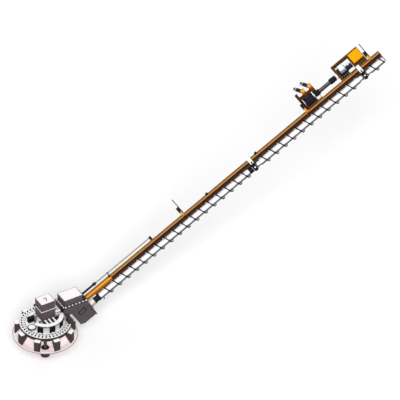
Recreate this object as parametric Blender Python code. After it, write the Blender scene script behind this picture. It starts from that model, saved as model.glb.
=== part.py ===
"""Silo sweep auger: a floor hopper with a slewing turret and a ten metre sweep screw.

Units are metres and +Z is up. The origin lies on the underside of the hopper's rim
flange, straight behind the boom, and +X runs below the boom. The boom rises from the
turret at a fixed angle, so most of its pieces are modelled in the boom's own frame:
x along the screw, y across it, z square to both.
"""
from math import atan2, ceil, cos, hypot, pi, radians, sin

import bmesh
import bpy
from mathutils import Matrix, Vector

for leftover in list(bpy.data.objects):
    bpy.data.objects.remove(leftover)

# Fits
SEAT = 0.0003
RUNNING = 0.0008

# Floor hopper
RIM_R = 0.878
RIM_INNER_R = 0.800
ORIGIN_R = 0.842
RIM_T = 0.010
CONE_T = 0.006
OUTLET_R = 0.112
OUTLET_Z = -0.490
SPOUT_BOTTOM_Z = -0.755
PIPE_R = 0.045
PIPE_BOTTOM_Z = -0.700

# Legs below the slewing ring
LEG_COUNT = 9
LEG_FIRST_DEG = 24.0
LEG_OUTER_R = 0.820
LEG_FOOT_R = 0.785
LEG_INNER_R = 0.640
LEG_HALF_WIDTH = 0.082
LEG_TOP_Z = 0.329
LEG_KNEE_Z = 0.190

# Slewing ring
RING_OUTER_R = 0.694
RACE_R = 0.540
RACE_INNER_R = 0.460
RING_BOTTOM_Z = 0.305
RING_TOP_Z = 0.392
RACE_TOP_Z = 0.385
RING_SEGMENTS = 96

# Turret cage
TIER_R = 0.500
TIER_INNER_R = 0.379
TIER_TOP_Z = 0.640
TIER_T = 0.020
TIER_ARC_DEG = (203.0, 445.0)
FOOT_PLATE_R = (0.250, 0.535)
FOOT_PLATE_TOP_Z = 0.3993
POST_DEG = (224.0, 264.0, 304.0, 344.0, 24.0, 64.0)
POST_HALF_WIDTH = 0.078
DECK_HALF_GAUGE = 0.125
DECK_BAR_W = 0.050
DECK_BAR_START = -0.260
CROSS_BAR_X = (-0.114, 0.000, 0.125)
CROSS_BAR_HALF = 0.027
ROUND_COVER_XY = (-0.448, -0.063)
ROUND_COVER_R = 0.120
ROUND_COVER_Z = (0.424, 0.452)
ROUND_COVER_FOOT_R = 0.055

# Unit beside the deck
SIDE_BOX_X = (-0.421, -0.171)
SIDE_BOX_Y = (0.154, 0.263)
SIDE_BOX_TOP_Z = 0.550

# Centre box
CENTRE_HALF_X = 0.210
CENTRE_HALF_Y = 0.180
CENTRE_SPLIT_Z = 0.931
CENTRE_TOP_Z = 1.184
FLANGE_T = 0.015
FLANGE_LIP = 0.015

# Drive case beside the centre box
CASE_HALF_Y = 0.235
CASE_LEFT_X = 0.450
CASE_SPLIT_Z = 0.820
COVER_X = (0.487, 1.047)
COVER_HALF_Y = 0.195
COVER_TOP_Z = 1.046
CASE_LIP_X = 1.190
CASE_FLOOR_Z = 0.065
CASE_KNEE = ((0.975, 0.065), (0.838, 0.370), (0.700, 0.551))
LINK_R = 0.050
LINK_Y = -0.120
LINK_Z = 0.730
LINK_COLLAR_R = 0.080
LINK_COLLAR_T = 0.032
ROLLER_X = (0.500, 0.640)
ROLLER_Z = (0.402, 0.500)
ROLLER_END_Y = -0.420
ROLLER_TAB_X = (0.520, 0.620)
ROLLER_TAB_TOP_Z = 0.600
HATCH_S = (-0.387, -0.160)
HATCH_Z = (0.170, 0.322)
HATCH_T = 0.008

# Boom
BOOM_INCLINE = radians(27.66)
BOOM_ROOT_X = 1.376
BOOM_ROOT_Z = 0.420
BOOM_LENGTH = 10.290
OUTPUT_PLATE_T = 0.020
OUTPUT_TOP = 0.315
OUTPUT_BOTTOM = -0.190

# Screw
PITCH = 0.300
FLIGHT_R = 0.137
FLIGHT_T = 0.008
TUBE_R = 0.0875
NECK_R = 0.070
JOURNAL_R = 0.033
STUB_R = 0.040
COUPLING_R = 0.095
COUPLING_SPAN = (0.166, 0.354)
FLIGHT_PHASE_DEG = 106.6
FLIGHT_STEPS = 14
HANGER_S = (5.765, 9.604)
HANGER_HALF = 0.054
NECK_HALF = 0.065
TUBE_GAP_HALF = 0.195
SCREW_END = 10.262
END_PLATE_T = 0.010
FLIGHT_SPANS = ((0.400, 5.530, 0.0), (6.000, 9.370, -108.5), (9.840, 10.242, 12.0))

# Boom beam, its root and the board behind the screw
BEAM_Y = (0.050, 0.135)
BEAM_Z = (0.160, 0.245)
ROOT_Y = (0.019, 0.135)
ROOT_Z = (0.150, 0.245)
ROOT_END = 0.925
BOARD_T = 0.005
BOARD_HEAD_Y = 0.078
BOARD_BACK_Y = 0.160
BOARD_BEND_Z = 0.010
BOARD_BOTTOM_Z = -0.110
BOARD_START = 0.300
DUCT_Y = (0.090, 0.134)
DUCT_TOP = 0.252
DUCT_CLIP_S = (4.306, 6.015)

# Conduit from the drive case to the beam
CONDUIT_Y = 0.225
CONDUIT_Z = 0.272
CONDUIT_R = 0.014
CONDUIT_SLEEVE_R = 0.030
CONDUIT_SLEEVE_END = 0.488
CONDUIT_END = 2.360
CONDUIT_CLIP_S = (1.200, 2.393)

# Sensors on the back of the beam
SENSOR_S = (3.445, 7.775, 9.985)
SENSOR_ARM_HALF = 0.027
SENSOR_ARM_END = 0.290
SENSOR_BOX = (0.090, 0.150, 0.105)
ROD_SIDE = 0.050
ROD_ROOT_Y = 0.150
ROD_LENGTH = 0.480
ROD_TILT = radians(17.7)
ROD_R = 0.011

# Motor and cardan shaft
DRIVE_Y = 0.440
DRIVE_Z = 0.180
MOTOR_S = (7.900, 8.205)
MOTOR_R = 0.115
MOTOR_FLANGE_R = 0.130
MOTOR_FLANGE_T = 0.030
MOTOR_SHIELD_R = 0.125
TRAY_S = (7.825, 8.362)
TRAY_BOTTOM = 0.034
TRAY_T = 0.012
TRAY_END_Y = 0.845
TRAY_BLOCKS = {
    "near": ((7.825, 0.600), (7.900, 0.900), 0.165),
    "mid": ((8.015, 0.640), (8.130, 0.835), 0.150),
    "far": ((8.243, 0.610), (8.361, 0.835), 0.150),
}
ARM_Z = (0.1503, 0.250)
CARDAN_R = 0.055
YOKE_R = 0.082
YOKE_S = ((8.243, 8.410), (8.770, 8.975))
CARDAN_STUB_R = 0.020
ARM_S = (8.072, 8.300)
ARM_ROOT_Y = 0.765
EYE_OFFSET = (-0.122, 0.275)
EYE_R = 0.060
EYE_HOLE_R = 0.022

# Wheel frame at the outer end
FRAME_S = (9.040, 9.930)
FRAME_MID_S = (9.546, 9.606)
FRAME_END_Y = 0.805
FRAME_Z = (0.137, 0.217)
FRAME_BAR = 0.060
FRAME_COVER_END_Y = 0.314
SHAFT_COLLAR_R = 0.055
WHEEL_Y = 0.540
WHEEL_Z = 0.050
WHEEL_R = 0.200
WHEEL_DRUM_R = 0.170
WHEEL_S = (9.620, 9.862)
WHEEL_LUGS = 12
AXLE_R = 0.024
BEARING_PLATE_HALF = 0.060
BEARING_PLATE_BOTTOM = -0.005
GUARD_S = (9.598, 9.912)
GUARD_Y = (0.318, 0.720)
GUARD_TOP = 0.268
GUARD_T = 0.006
GEARBOX_END = 9.360
GEARBOX_NECK_END = 9.540
GEARBOX_Y = (0.320, 0.630)
GEARBOX_Z = (0.000, 0.225)
GEARBOX_CAP_S = (9.165, 9.335)
GEARBOX_CAP_Y = (0.370, 0.600)
GEARBOX_CAP_TOP = 0.315
GEARBOX_NECK_R = 0.070

FINISHES = {
    "hopper_paint": ((0.84, 0.80, 0.80), 0.45, 0.1),
    "ring_steel": ((0.80, 0.80, 0.80), 0.35, 0.8),
    "case_paint": ((0.33, 0.30, 0.31), 0.45, 0.3),
    "leg_paint": ((0.24, 0.22, 0.21), 0.55, 0.3),
    "black_iron": ((0.04, 0.04, 0.045), 0.50, 0.5),
    "light_steel": ((0.78, 0.77, 0.76), 0.35, 0.8),
    "screw_steel": ((0.72, 0.72, 0.74), 0.30, 0.9),
    "beam_orange": ((0.72, 0.42, 0.17), 0.45, 0.2),
    "root_amber": ((0.90, 0.55, 0.12), 0.40, 0.2),
    "board_brown": ((0.33, 0.22, 0.12), 0.55, 0.2),
    "guard_yellow": ((0.98, 0.62, 0.03), 0.40, 0.1),
    "wheel_rubber": ((0.05, 0.05, 0.05), 0.85, 0.0),
}


def finish(name):
    """A plain painted or metal finish by name, made once."""
    found = bpy.data.materials.get(name)
    if found:
        return found
    colour, roughness, metallic = FINISHES[name]
    made = bpy.data.materials.new(name)
    made.use_nodes = True
    surface = made.node_tree.nodes["Principled BSDF"]
    surface.inputs["Base Color"].default_value = (*colour, 1.0)
    surface.inputs["Roughness"].default_value = roughness
    surface.inputs["Metallic"].default_value = metallic
    made.diffuse_color = (*colour, 1.0)
    return made


def axis_empty(name, parent=None, location=(0.0, 0.0, 0.0), tilt=0.0):
    """An empty on a joint's axis, which carries the pieces that turn there."""
    empty = bpy.data.objects.new(name, None)
    bpy.context.scene.collection.objects.link(empty)
    empty.parent = parent
    empty.location = location
    empty.rotation_euler = (0.0, tilt, 0.0)
    return empty


def piece(name, bm, paint, parent, smooth=False):
    """One named object from a finished bmesh."""
    bmesh.ops.recalc_face_normals(bm, faces=bm.faces)
    mesh = bpy.data.meshes.new(name)
    bm.to_mesh(mesh)
    bm.free()
    mesh.materials.append(finish(paint))
    if smooth:
        mesh.shade_smooth()
        mesh.set_sharp_from_angle(angle=radians(35.0))
    made = bpy.data.objects.new(name, mesh)
    bpy.context.scene.collection.objects.link(made)
    made.parent = parent
    return made


def combine(base, tool, operation="UNION"):
    """Join a helper solid to a piece, or cut it away, and hide the helper."""
    step = base.modifiers.new(tool.name, "BOOLEAN")
    step.operation = operation
    step.object = tool
    tool.hide_render = True
    tool.display_type = "WIRE"


def add_box(bm, low, high):
    """A box between two corners."""
    centre = (Vector(low) + Vector(high)) / 2.0
    size = Vector(high) - Vector(low)
    placed = Matrix.Translation(centre) @ Matrix.Diagonal((*size, 1.0))
    bmesh.ops.create_cube(bm, size=1.0, matrix=placed)


def box(name, low, high, paint, parent):
    """A box as a piece of its own."""
    bm = bmesh.new()
    add_box(bm, low, high)
    return piece(name, bm, paint, parent)


def prism(name, outline, plane, start, end, paint, parent):
    """An outline drawn in the xz, yz or xy plane and extruded between two stations."""
    turned = {
        "xz": lambda u, v, depth: (u, depth, v),
        "yz": lambda u, v, depth: (depth, u, v),
        "xy": lambda u, v, depth: (u, v, depth),
    }[plane]
    bm = bmesh.new()
    near = [bm.verts.new(turned(u, v, start)) for u, v in outline]
    far = [bm.verts.new(turned(u, v, end)) for u, v in outline]
    bm.faces.new(near)
    bm.faces.new(far)
    for i in range(len(outline)):
        j = (i + 1) % len(outline)
        bm.faces.new((near[i], near[j], far[j], far[i]))
    return piece(name, bm, paint, parent)


def turned(name, profile, axis, centre, segments, paint, parent, ring=False):
    """A profile of (height, radius) turned about an axis through the centre.

    A ring closes its profile on itself; any other profile is capped at both ends.
    """
    frames = {"x": ((0, 1, 0), (0, 0, 1), (1, 0, 0)), "z": ((1, 0, 0), (0, 1, 0), (0, 0, 1))}
    first, second, along = (Vector(v) for v in frames[axis])
    middle = Vector(centre)
    bm = bmesh.new()
    loops = []
    for height, radius in profile:
        loop = []
        for k in range(segments):
            angle = 2.0 * pi * k / segments
            out = first * cos(angle) + second * sin(angle)
            loop.append(bm.verts.new(middle + along * height + out * radius))
        loops.append(loop)
    count = len(loops)
    for i in range(count if ring else count - 1):
        inner, outer = loops[i], loops[(i + 1) % count]
        for k in range(segments):
            m = (k + 1) % segments
            bm.faces.new((inner[k], inner[m], outer[m], outer[k]))
    if not ring:
        bm.faces.new(loops[0])
        bm.faces.new(loops[-1])
    return piece(name, bm, paint, parent, smooth=True)


def ring(name, inner, outer, low, high, axis, centre, segments, paint, parent):
    """A plain flat ring."""
    profile = ((low, inner), (low, outer), (high, outer), (high, inner))
    return turned(name, profile, axis, centre, segments, paint, parent, ring=True)


def hopper(axis):
    """The cone let into the floor, its rim flange and the outlet spout."""
    slope = Vector((RIM_INNER_R - OUTLET_R, -OUTLET_Z)).normalized()
    drop = CONE_T / slope.x
    shell = (
        (RIM_T, RIM_INNER_R),
        (RIM_T, RIM_R),
        (0.0, RIM_R),
        (0.0, RIM_INNER_R + CONE_T),
        (OUTLET_Z - drop, OUTLET_R + CONE_T),
        (OUTLET_Z - drop, OUTLET_R),
        (OUTLET_Z, OUTLET_R),
    )
    turned("hopper_cone", shell, "z", (0, 0, 0), 72, "hopper_paint", axis, ring=True)
    top = OUTLET_Z - drop - SEAT
    ring(
        "outlet_spout", OUTLET_R - 0.002, OUTLET_R + CONE_T, SPOUT_BOTTOM_Z, top,
        "z", (0, 0, 0), 36, "leg_paint", axis,
    )


def leg_solid(name, degrees, axis):
    """One folded leg, from the rim flange up to the slewing ring."""
    foot = RIM_T + SEAT
    ring_low = RING_BOTTOM_Z - SEAT
    ring_out = RING_OUTER_R + 0.001
    side = (
        (LEG_OUTER_R, foot),
        (LEG_FOOT_R, foot),
        (LEG_INNER_R, LEG_KNEE_Z),
        (LEG_INNER_R, ring_low),
        (ring_out, ring_low),
        (ring_out, LEG_TOP_Z),
        (LEG_OUTER_R, LEG_TOP_Z),
    )
    leg = prism(name, side, "xz", -LEG_HALF_WIDTH, LEG_HALF_WIDTH, "leg_paint", axis)
    leg.rotation_euler = (0.0, 0.0, radians(degrees))
    return leg


def legs(axis):
    """Nine like legs, joined by the support ring that they carry."""
    profile_low = RING_BOTTOM_Z - SEAT - 0.020
    frame = ring(
        "leg_frame", LEG_INNER_R - 0.020, RING_OUTER_R - 0.004, profile_low,
        RING_BOTTOM_Z - SEAT, "z", (0, 0, 0), 72, "leg_paint", axis,
    )
    for k in range(LEG_COUNT):
        degrees = LEG_FIRST_DEG + 360.0 / LEG_COUNT * k
        combine(frame, leg_solid(f"leg_{k + 1}", degrees, axis))


def slewing_ring(hub_axis, turret_axis):
    """The outer race on the legs and the inner race that carries the turret."""
    ring(
        "slewing_ring_outer", RACE_R, RING_OUTER_R, RING_BOTTOM_Z, RING_TOP_Z,
        "z", (0, 0, 0), RING_SEGMENTS, "ring_steel", hub_axis,
    )
    ring(
        "slewing_ring_inner", RACE_INNER_R, RACE_R - RUNNING, RING_BOTTOM_Z, RACE_TOP_Z,
        "z", (0, 0, 0), RING_SEGMENTS, "ring_steel", turret_axis,
    )


def arc_plate(name, inner, outer, span_deg, low, high, paint, parent):
    """A flat plate bent round the slewing axis between two bearings."""
    first, last = (radians(value) for value in span_deg)
    steps = ceil((last - first) / radians(5.0))
    bearings = [first + (last - first) * k / steps for k in range(steps + 1)]
    outline = [(outer * cos(turn), outer * sin(turn)) for turn in bearings]
    outline += [(inner * cos(turn), inner * sin(turn)) for turn in reversed(bearings)]
    return prism(name, outline, "xy", low, high, paint, parent)


def turret_cage(axis):
    """The foot plate on the inner race, six posts, the upper arc and the deck bars."""
    low = RACE_TOP_Z + SEAT
    cage = arc_plate(
        "turret_cage", TIER_INNER_R, TIER_R, TIER_ARC_DEG, TIER_TOP_Z - TIER_T, TIER_TOP_Z,
        "light_steel", axis,
    )
    foot = ring(
        "cage_foot", *FOOT_PLATE_R, low, FOOT_PLATE_TOP_Z,
        "z", (0, 0, 0), 72, "light_steel", axis,
    )
    combine(cage, foot)
    for number, degrees in enumerate(POST_DEG, start=1):
        post = box(
            f"cage_post_{number}",
            (RACE_INNER_R + 0.004, -POST_HALF_WIDTH, low + 0.004),
            (TIER_R - 0.004, POST_HALF_WIDTH, TIER_TOP_Z - TIER_T / 2.0),
            "black_iron", axis,
        )
        post.rotation_euler = (0.0, 0.0, radians(degrees))
        combine(cage, post)
    bar_low = TIER_TOP_Z - 0.060
    bar_high = TIER_TOP_Z - 0.001
    for side, name in ((-1, "right"), (1, "left")):
        near_y = side * DECK_HALF_GAUGE - DECK_BAR_W / 2.0
        far_y = side * DECK_HALF_GAUGE + DECK_BAR_W / 2.0
        bar = box(
            f"deck_bar_{name}",
            (DECK_BAR_START, near_y, bar_low), (TIER_INNER_R + 0.040, far_y, bar_high),
            "light_steel", axis,
        )
        combine(cage, bar)
        upright = box(
            f"deck_upright_{name}",
            (DECK_BAR_START + 0.001, near_y + 0.001, low + 0.003),
            (DECK_BAR_START + DECK_BAR_W, far_y - 0.001, bar_high - 0.002),
            "light_steel", axis,
        )
        combine(cage, upright)
    for number, middle in enumerate(CROSS_BAR_X, start=1):
        cross = box(
            f"cross_bar_{number}",
            (middle - CROSS_BAR_HALF, -TIER_INNER_R - 0.030, bar_low + 0.002),
            (middle + CROSS_BAR_HALF, -DECK_HALF_GAUGE + 0.010, bar_high - 0.003),
            "light_steel", axis,
        )
        combine(cage, cross)
    cover_low, cover_high = ROUND_COVER_Z
    profile = (
        (FOOT_PLATE_TOP_Z - 0.004, ROUND_COVER_FOOT_R),
        (cover_low, ROUND_COVER_FOOT_R),
        (cover_low, ROUND_COVER_R),
        (cover_high - 0.006, ROUND_COVER_R),
        (cover_high, ROUND_COVER_R - 0.008),
    )
    cover = turned(
        "round_cover", profile, "z", (*ROUND_COVER_XY, 0.0), 40, "light_steel", axis,
    )
    combine(cage, cover)


def centre_box(axis):
    """The square box on the slewing axis, its joint flange and the pipe below it."""
    low = TIER_TOP_Z + SEAT
    box(
        "centre_box_lower",
        (-CENTRE_HALF_X, -CENTRE_HALF_Y, low),
        (CENTRE_HALF_X, CENTRE_HALF_Y, CENTRE_SPLIT_Z),
        "case_paint", axis,
    )
    upper = box(
        "centre_box_upper",
        (-CENTRE_HALF_X, -CENTRE_HALF_Y, CENTRE_SPLIT_Z + FLANGE_T / 2.0),
        (CENTRE_HALF_X, CENTRE_HALF_Y, CENTRE_TOP_Z),
        "case_paint", axis,
    )
    flange = box(
        "centre_box_flange",
        (-CENTRE_HALF_X - FLANGE_LIP, -CENTRE_HALF_Y - FLANGE_LIP, CENTRE_SPLIT_Z + SEAT),
        (CENTRE_HALF_X + FLANGE_LIP, CENTRE_HALF_Y + FLANGE_LIP, CENTRE_SPLIT_Z + FLANGE_T),
        "light_steel", axis,
    )
    combine(upper, flange)
    turned(
        "centre_pipe", ((PIPE_BOTTOM_Z, PIPE_R), (TIER_TOP_Z, PIPE_R)),
        "z", (0, 0, 0), 28, "case_paint", axis,
    )
    box(
        "side_box",
        (SIDE_BOX_X[0], SIDE_BOX_Y[0], FOOT_PLATE_TOP_Z + SEAT),
        (SIDE_BOX_X[1], SIDE_BOX_Y[1], SIDE_BOX_TOP_Z),
        "black_iron", axis,
    )


def boom_point(along, square):
    """Turret x and z of a point in the boom's upright plane."""
    x = BOOM_ROOT_X + along * cos(BOOM_INCLINE) - square * sin(BOOM_INCLINE)
    z = BOOM_ROOT_Z + along * sin(BOOM_INCLINE) + square * cos(BOOM_INCLINE)
    return (x, z)


def drive_case(axis):
    """The level gear case whose outer end is set square to the boom, and its cover."""
    face = -OUTPUT_PLATE_T - SEAT
    top = boom_point(face, OUTPUT_TOP + 0.004)
    bottom = boom_point(face, OUTPUT_BOTTOM)
    run = (bottom[1] - CASE_FLOOR_Z) * cos(BOOM_INCLINE) / sin(BOOM_INCLINE)
    outline = (
        (CASE_LEFT_X, CASE_SPLIT_Z),
        (CASE_LIP_X, CASE_SPLIT_Z),
        top,
        bottom,
        (bottom[0] - run, CASE_FLOOR_Z),
        *CASE_KNEE,
        (TIER_R + 0.005, CASE_KNEE[-1][1]),
        (TIER_R + 0.005, TIER_TOP_Z + SEAT),
        (CASE_LEFT_X, TIER_TOP_Z + SEAT),
    )
    prism("drive_case", outline, "xz", -CASE_HALF_Y, CASE_HALF_Y, "case_paint", axis)
    cover = box(
        "drive_cover",
        (COVER_X[0], -COVER_HALF_Y, CASE_SPLIT_Z + FLANGE_T / 2.0),
        (COVER_X[1], COVER_HALF_Y, COVER_TOP_Z),
        "case_paint", axis,
    )
    flange = box(
        "cover_flange",
        (CASE_LEFT_X - FLANGE_LIP, -CASE_HALF_Y - FLANGE_LIP, CASE_SPLIT_Z + SEAT),
        (CASE_LIP_X, CASE_HALF_Y + FLANGE_LIP, CASE_SPLIT_Z + FLANGE_T),
        "case_paint", axis,
    )
    combine(cover, flange)
    collar = CASE_LEFT_X - SEAT - LINK_COLLAR_T
    profile = (
        (CENTRE_HALF_X + SEAT, LINK_R),
        (collar, LINK_R),
        (collar, LINK_COLLAR_R),
        (CASE_LEFT_X - SEAT, LINK_COLLAR_R),
    )
    turned("link_shaft_guard", profile, "x", (0, LINK_Y, LINK_Z), 28, "light_steel", axis)
    roller = box(
        "ring_roller_block",
        (ROLLER_X[0], ROLLER_END_Y, ROLLER_Z[0]),
        (ROLLER_X[1], -CASE_HALF_Y - SEAT, ROLLER_Z[1]),
        "black_iron", axis,
    )
    tab = box(
        "roller_tab",
        (ROLLER_TAB_X[0], -CASE_HALF_Y - 0.020, ROLLER_Z[0] + 0.048),
        (ROLLER_TAB_X[1], -CASE_HALF_Y - SEAT, ROLLER_TAB_TOP_Z),
        "black_iron", axis,
    )
    combine(roller, tab)


def case_trim(boom):
    """The hatch on the case's side and the plate that the boom is bolted to."""
    box(
        "case_hatch",
        (HATCH_S[0], -CASE_HALF_Y - HATCH_T, HATCH_Z[0]),
        (HATCH_S[1], -CASE_HALF_Y - SEAT, HATCH_Z[1]),
        "case_paint", boom,
    )
    box(
        "output_plate",
        (-OUTPUT_PLATE_T, -CASE_HALF_Y - FLANGE_LIP, OUTPUT_BOTTOM - 0.020),
        (0.0, CASE_HALF_Y + FLANGE_LIP, OUTPUT_TOP),
        "case_paint", boom,
    )
    bore = STUB_R + RUNNING
    neck = (
        (SEAT, bore),
        (SEAT, 0.135),
        (0.022, 0.135),
        (0.022, 0.112),
        (0.110, 0.094),
        (0.160, 0.094),
        (0.160, bore),
    )
    turned("bearing_neck", neck, "x", (0, 0, 0), 32, "light_steel", boom, ring=True)


def screw_shaft(boom):
    """The screw's tube in three lengths, with a journal at each hanger and both ends."""
    profile = [(0.002, STUB_R), (COUPLING_SPAN[1] + 0.002, STUB_R), (COUPLING_SPAN[1] + 0.002, TUBE_R)]
    for station in HANGER_S:
        profile += [
            (station - TUBE_GAP_HALF, TUBE_R),
            (station - TUBE_GAP_HALF, NECK_R),
            (station - NECK_HALF, NECK_R),
            (station - NECK_HALF, JOURNAL_R),
            (station + NECK_HALF, JOURNAL_R),
            (station + NECK_HALF, NECK_R),
            (station + TUBE_GAP_HALF, NECK_R),
            (station + TUBE_GAP_HALF, TUBE_R),
        ]
    tip = BOOM_LENGTH + SEAT + END_PLATE_T - 0.002
    profile += [(SCREW_END, TUBE_R), (SCREW_END, JOURNAL_R), (tip, JOURNAL_R)]
    turned("screw_shaft", profile, "x", (0, 0, 0), 28, "screw_steel", boom)
    ring(
        "screw_coupling", STUB_R + SEAT, COUPLING_R, COUPLING_SPAN[0], COUPLING_SPAN[1],
        "x", (0, 0, 0), 32, "black_iron", boom,
    )


def flight(name, start, end, phase_deg, boom):
    """One right-handed flight: a flat strip wound round the tube and closed at its ends."""
    inner = (TUBE_R + SEAT) / cos(pi / FLIGHT_STEPS)
    steps = ceil((end - start) / PITCH * FLIGHT_STEPS)
    bm = bmesh.new()
    rows = []
    for k in range(steps + 1):
        along = start + (end - start) * k / steps
        angle = radians(FLIGHT_PHASE_DEG + phase_deg) + 2.0 * pi * along / PITCH
        out = Vector((0.0, cos(angle), sin(angle)))
        corners = (
            (along - FLIGHT_T / 2.0, inner),
            (along - FLIGHT_T / 2.0, FLIGHT_R),
            (along + FLIGHT_T / 2.0, FLIGHT_R),
            (along + FLIGHT_T / 2.0, inner),
        )
        rows.append([bm.verts.new(Vector((x, 0.0, 0.0)) + out * r) for x, r in corners])
    for before, after in zip(rows, rows[1:]):
        for i in range(4):
            j = (i + 1) % 4
            bm.faces.new((before[i], before[j], after[j], after[i]))
    bm.faces.new(rows[0])
    bm.faces.new(rows[-1])
    piece(name, bm, "screw_steel", boom, smooth=True)


def beam(boom):
    """The boom's beam, its deeper root, and the closing plate that holds the screw's end."""
    box(
        "beam_root",
        (SEAT, ROOT_Y[0], ROOT_Z[0]),
        (ROOT_END, ROOT_Y[1], ROOT_Z[1]),
        "root_amber", boom,
    )
    joint = HANGER_S[0]
    box(
        "beam_inner",
        (ROOT_END + SEAT, BEAM_Y[0], BEAM_Z[0]),
        (joint, BEAM_Y[1], BEAM_Z[1]),
        "beam_orange", boom,
    )
    box(
        "beam_outer",
        (joint + SEAT, BEAM_Y[0], BEAM_Z[0]),
        (BOOM_LENGTH, BEAM_Y[1], BEAM_Z[1]),
        "beam_orange", boom,
    )
    corners = (
        (BEAM_Y[0], BEAM_Z[1]),
        (-0.070, 0.040),
        (-0.070, -0.045),
        (-0.040, -0.080),
        (0.060, -0.080),
        (BEAM_Y[1], 0.060),
        (BEAM_Y[1], BEAM_Z[1]),
    )
    start = BOOM_LENGTH + SEAT
    plate = prism("end_plate", corners, "yz", start, start + END_PLATE_T, "light_steel", boom)
    bore = turned(
        "end_bore",
        ((start - 0.010, JOURNAL_R + RUNNING), (start + END_PLATE_T + 0.010, JOURNAL_R + RUNNING)),
        "x", (0, 0, 0), 28, "light_steel", boom,
    )
    combine(plate, bore, "DIFFERENCE")


def board(name, start, end, top, boom):
    """A folded board behind the screw: a slope below the beam, then an upright strip."""
    lean = (BOARD_BACK_Y - BOARD_HEAD_Y) / (BEAM_Z[0] - SEAT - BOARD_BEND_Z)
    top_y = BOARD_BACK_Y - (top - BOARD_BEND_Z) * lean
    thick = BOARD_T / cos(atan2(BOARD_BACK_Y - top_y, top - BOARD_BEND_Z))
    outline = (
        (top_y, top),
        (BOARD_BACK_Y, BOARD_BEND_Z),
        (BOARD_BACK_Y, BOARD_BOTTOM_Z),
        (BOARD_BACK_Y + BOARD_T, BOARD_BOTTOM_Z),
        (BOARD_BACK_Y + BOARD_T, BOARD_BEND_Z),
        (top_y + thick, top),
    )
    prism(name, outline, "yz", start, end, "board_brown", boom)


def beam_trim(boom):
    """Boards behind the screw, the cable duct on the beam and the conduit behind it."""
    board("board_root", BOARD_START, ROOT_END, ROOT_Z[0] - SEAT, boom)
    board("board_inner", ROOT_END + SEAT, HANGER_S[0], BEAM_Z[0] - SEAT, boom)
    board("board_outer", HANGER_S[0] + SEAT, BOOM_LENGTH, BEAM_Z[0] - SEAT, boom)
    duct = box(
        "cable_duct",
        (SEAT, DUCT_Y[0], BEAM_Z[1] + SEAT),
        (BOOM_LENGTH, DUCT_Y[1], DUCT_TOP),
        "board_brown", boom,
    )
    for number, station in enumerate(DUCT_CLIP_S, start=1):
        clip = box(
            f"duct_clip_{number}",
            (station - 0.040, DUCT_Y[0] - 0.010, DUCT_TOP - 0.005),
            (station + 0.040, DUCT_Y[1] - 0.004, DUCT_TOP + 0.035),
            "black_iron", boom,
        )
        combine(duct, clip)
    pipe = (
        (SEAT, CONDUIT_SLEEVE_R),
        (CONDUIT_SLEEVE_END, CONDUIT_SLEEVE_R),
        (CONDUIT_SLEEVE_END + 0.020, CONDUIT_R),
        (CONDUIT_END, CONDUIT_R),
    )
    conduit = turned(
        "conduit", pipe, "x", (0, CONDUIT_Y, CONDUIT_Z), 20, "black_iron", boom
    )
    for number, station in enumerate(CONDUIT_CLIP_S, start=1):
        clip = box(
            f"conduit_clip_{number}",
            (station - 0.035, BEAM_Y[1] + SEAT, CONDUIT_Z - 0.035),
            (station + 0.035, CONDUIT_Y + 0.022, CONDUIT_Z - 0.005),
            "black_iron", boom,
        )
        combine(conduit, clip)


def hanger(number, station, boom):
    """A hanger bearing: a clamp plate over the beam, an arm and the bearing body."""
    low, high = station - HANGER_HALF, station + HANGER_HALF
    bore = JOURNAL_R + RUNNING
    body = ring(
        f"hanger_{number}", bore, 0.122, -HANGER_HALF, HANGER_HALF,
        "x", (station, 0, 0), 32, "black_iron", boom,
    )
    arm = box(
        f"hanger_arm_{number}",
        (station - 0.040, -0.046, 0.090), (station + 0.040, BEAM_Y[0] - SEAT, DUCT_TOP + 0.006),
        "black_iron", boom,
    )
    combine(body, arm)
    nub = turned(
        f"hanger_drain_{number}", ((-0.150, 0.020), (-0.100, 0.020)),
        "z", (station, 0, 0), 16, "black_iron", boom,
    )
    combine(body, nub)
    plate = box(
        f"hanger_clamp_{number}",
        (low, -0.094, DUCT_TOP + SEAT), (high, 0.172, DUCT_TOP + 0.012),
        "light_steel", boom,
    )
    combine(body, plate)
    spacer = box(
        f"hanger_spacer_{number}",
        (low, BEAM_Y[0] + SEAT, BEAM_Z[1] + SEAT), (high, DUCT_Y[0] - 0.004, DUCT_TOP + 0.006),
        "light_steel", boom,
    )
    combine(body, spacer)


def sensor(number, station, boom):
    """A level sensor: an arm over the beam, a box at its end and a feeler rod beside it."""
    low, high = station - SENSOR_ARM_HALF, station + SENSOR_ARM_HALF
    arm = box(
        f"sensor_{number}",
        (low, BEAM_Y[0], DUCT_TOP + SEAT), (high, SENSOR_ARM_END, DUCT_TOP + 0.026),
        "root_amber", boom,
    )
    foot = box(
        f"sensor_foot_{number}",
        (low, BEAM_Y[0], BEAM_Z[1] + SEAT), (high, DUCT_Y[0] - 0.004, DUCT_TOP + 0.010),
        "root_amber", boom,
    )
    combine(arm, foot)
    half = SENSOR_BOX[0] / 2.0
    near = SENSOR_ARM_END - 0.010
    middle = DUCT_TOP + 0.013
    probe = box(
        f"sensor_probe_{number}",
        (station - half, near, middle - SENSOR_BOX[2] / 2.0),
        (station + half, near + SENSOR_BOX[1], middle + SENSOR_BOX[2] / 2.0),
        "black_iron", boom,
    )
    rod = turned(
        f"sensor_rod_{number}", ((0.0, ROD_R), (ROD_LENGTH, ROD_R)),
        "z", (0, 0, 0), 12, "black_iron", boom,
    )
    rod.location = (station + ROD_SIDE - ROD_R, ROD_ROOT_Y, middle)
    rod.rotation_euler = (ROD_TILT - pi / 2.0, 0.0, 0.0)
    combine(arm, probe)
    combine(arm, rod)


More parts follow.
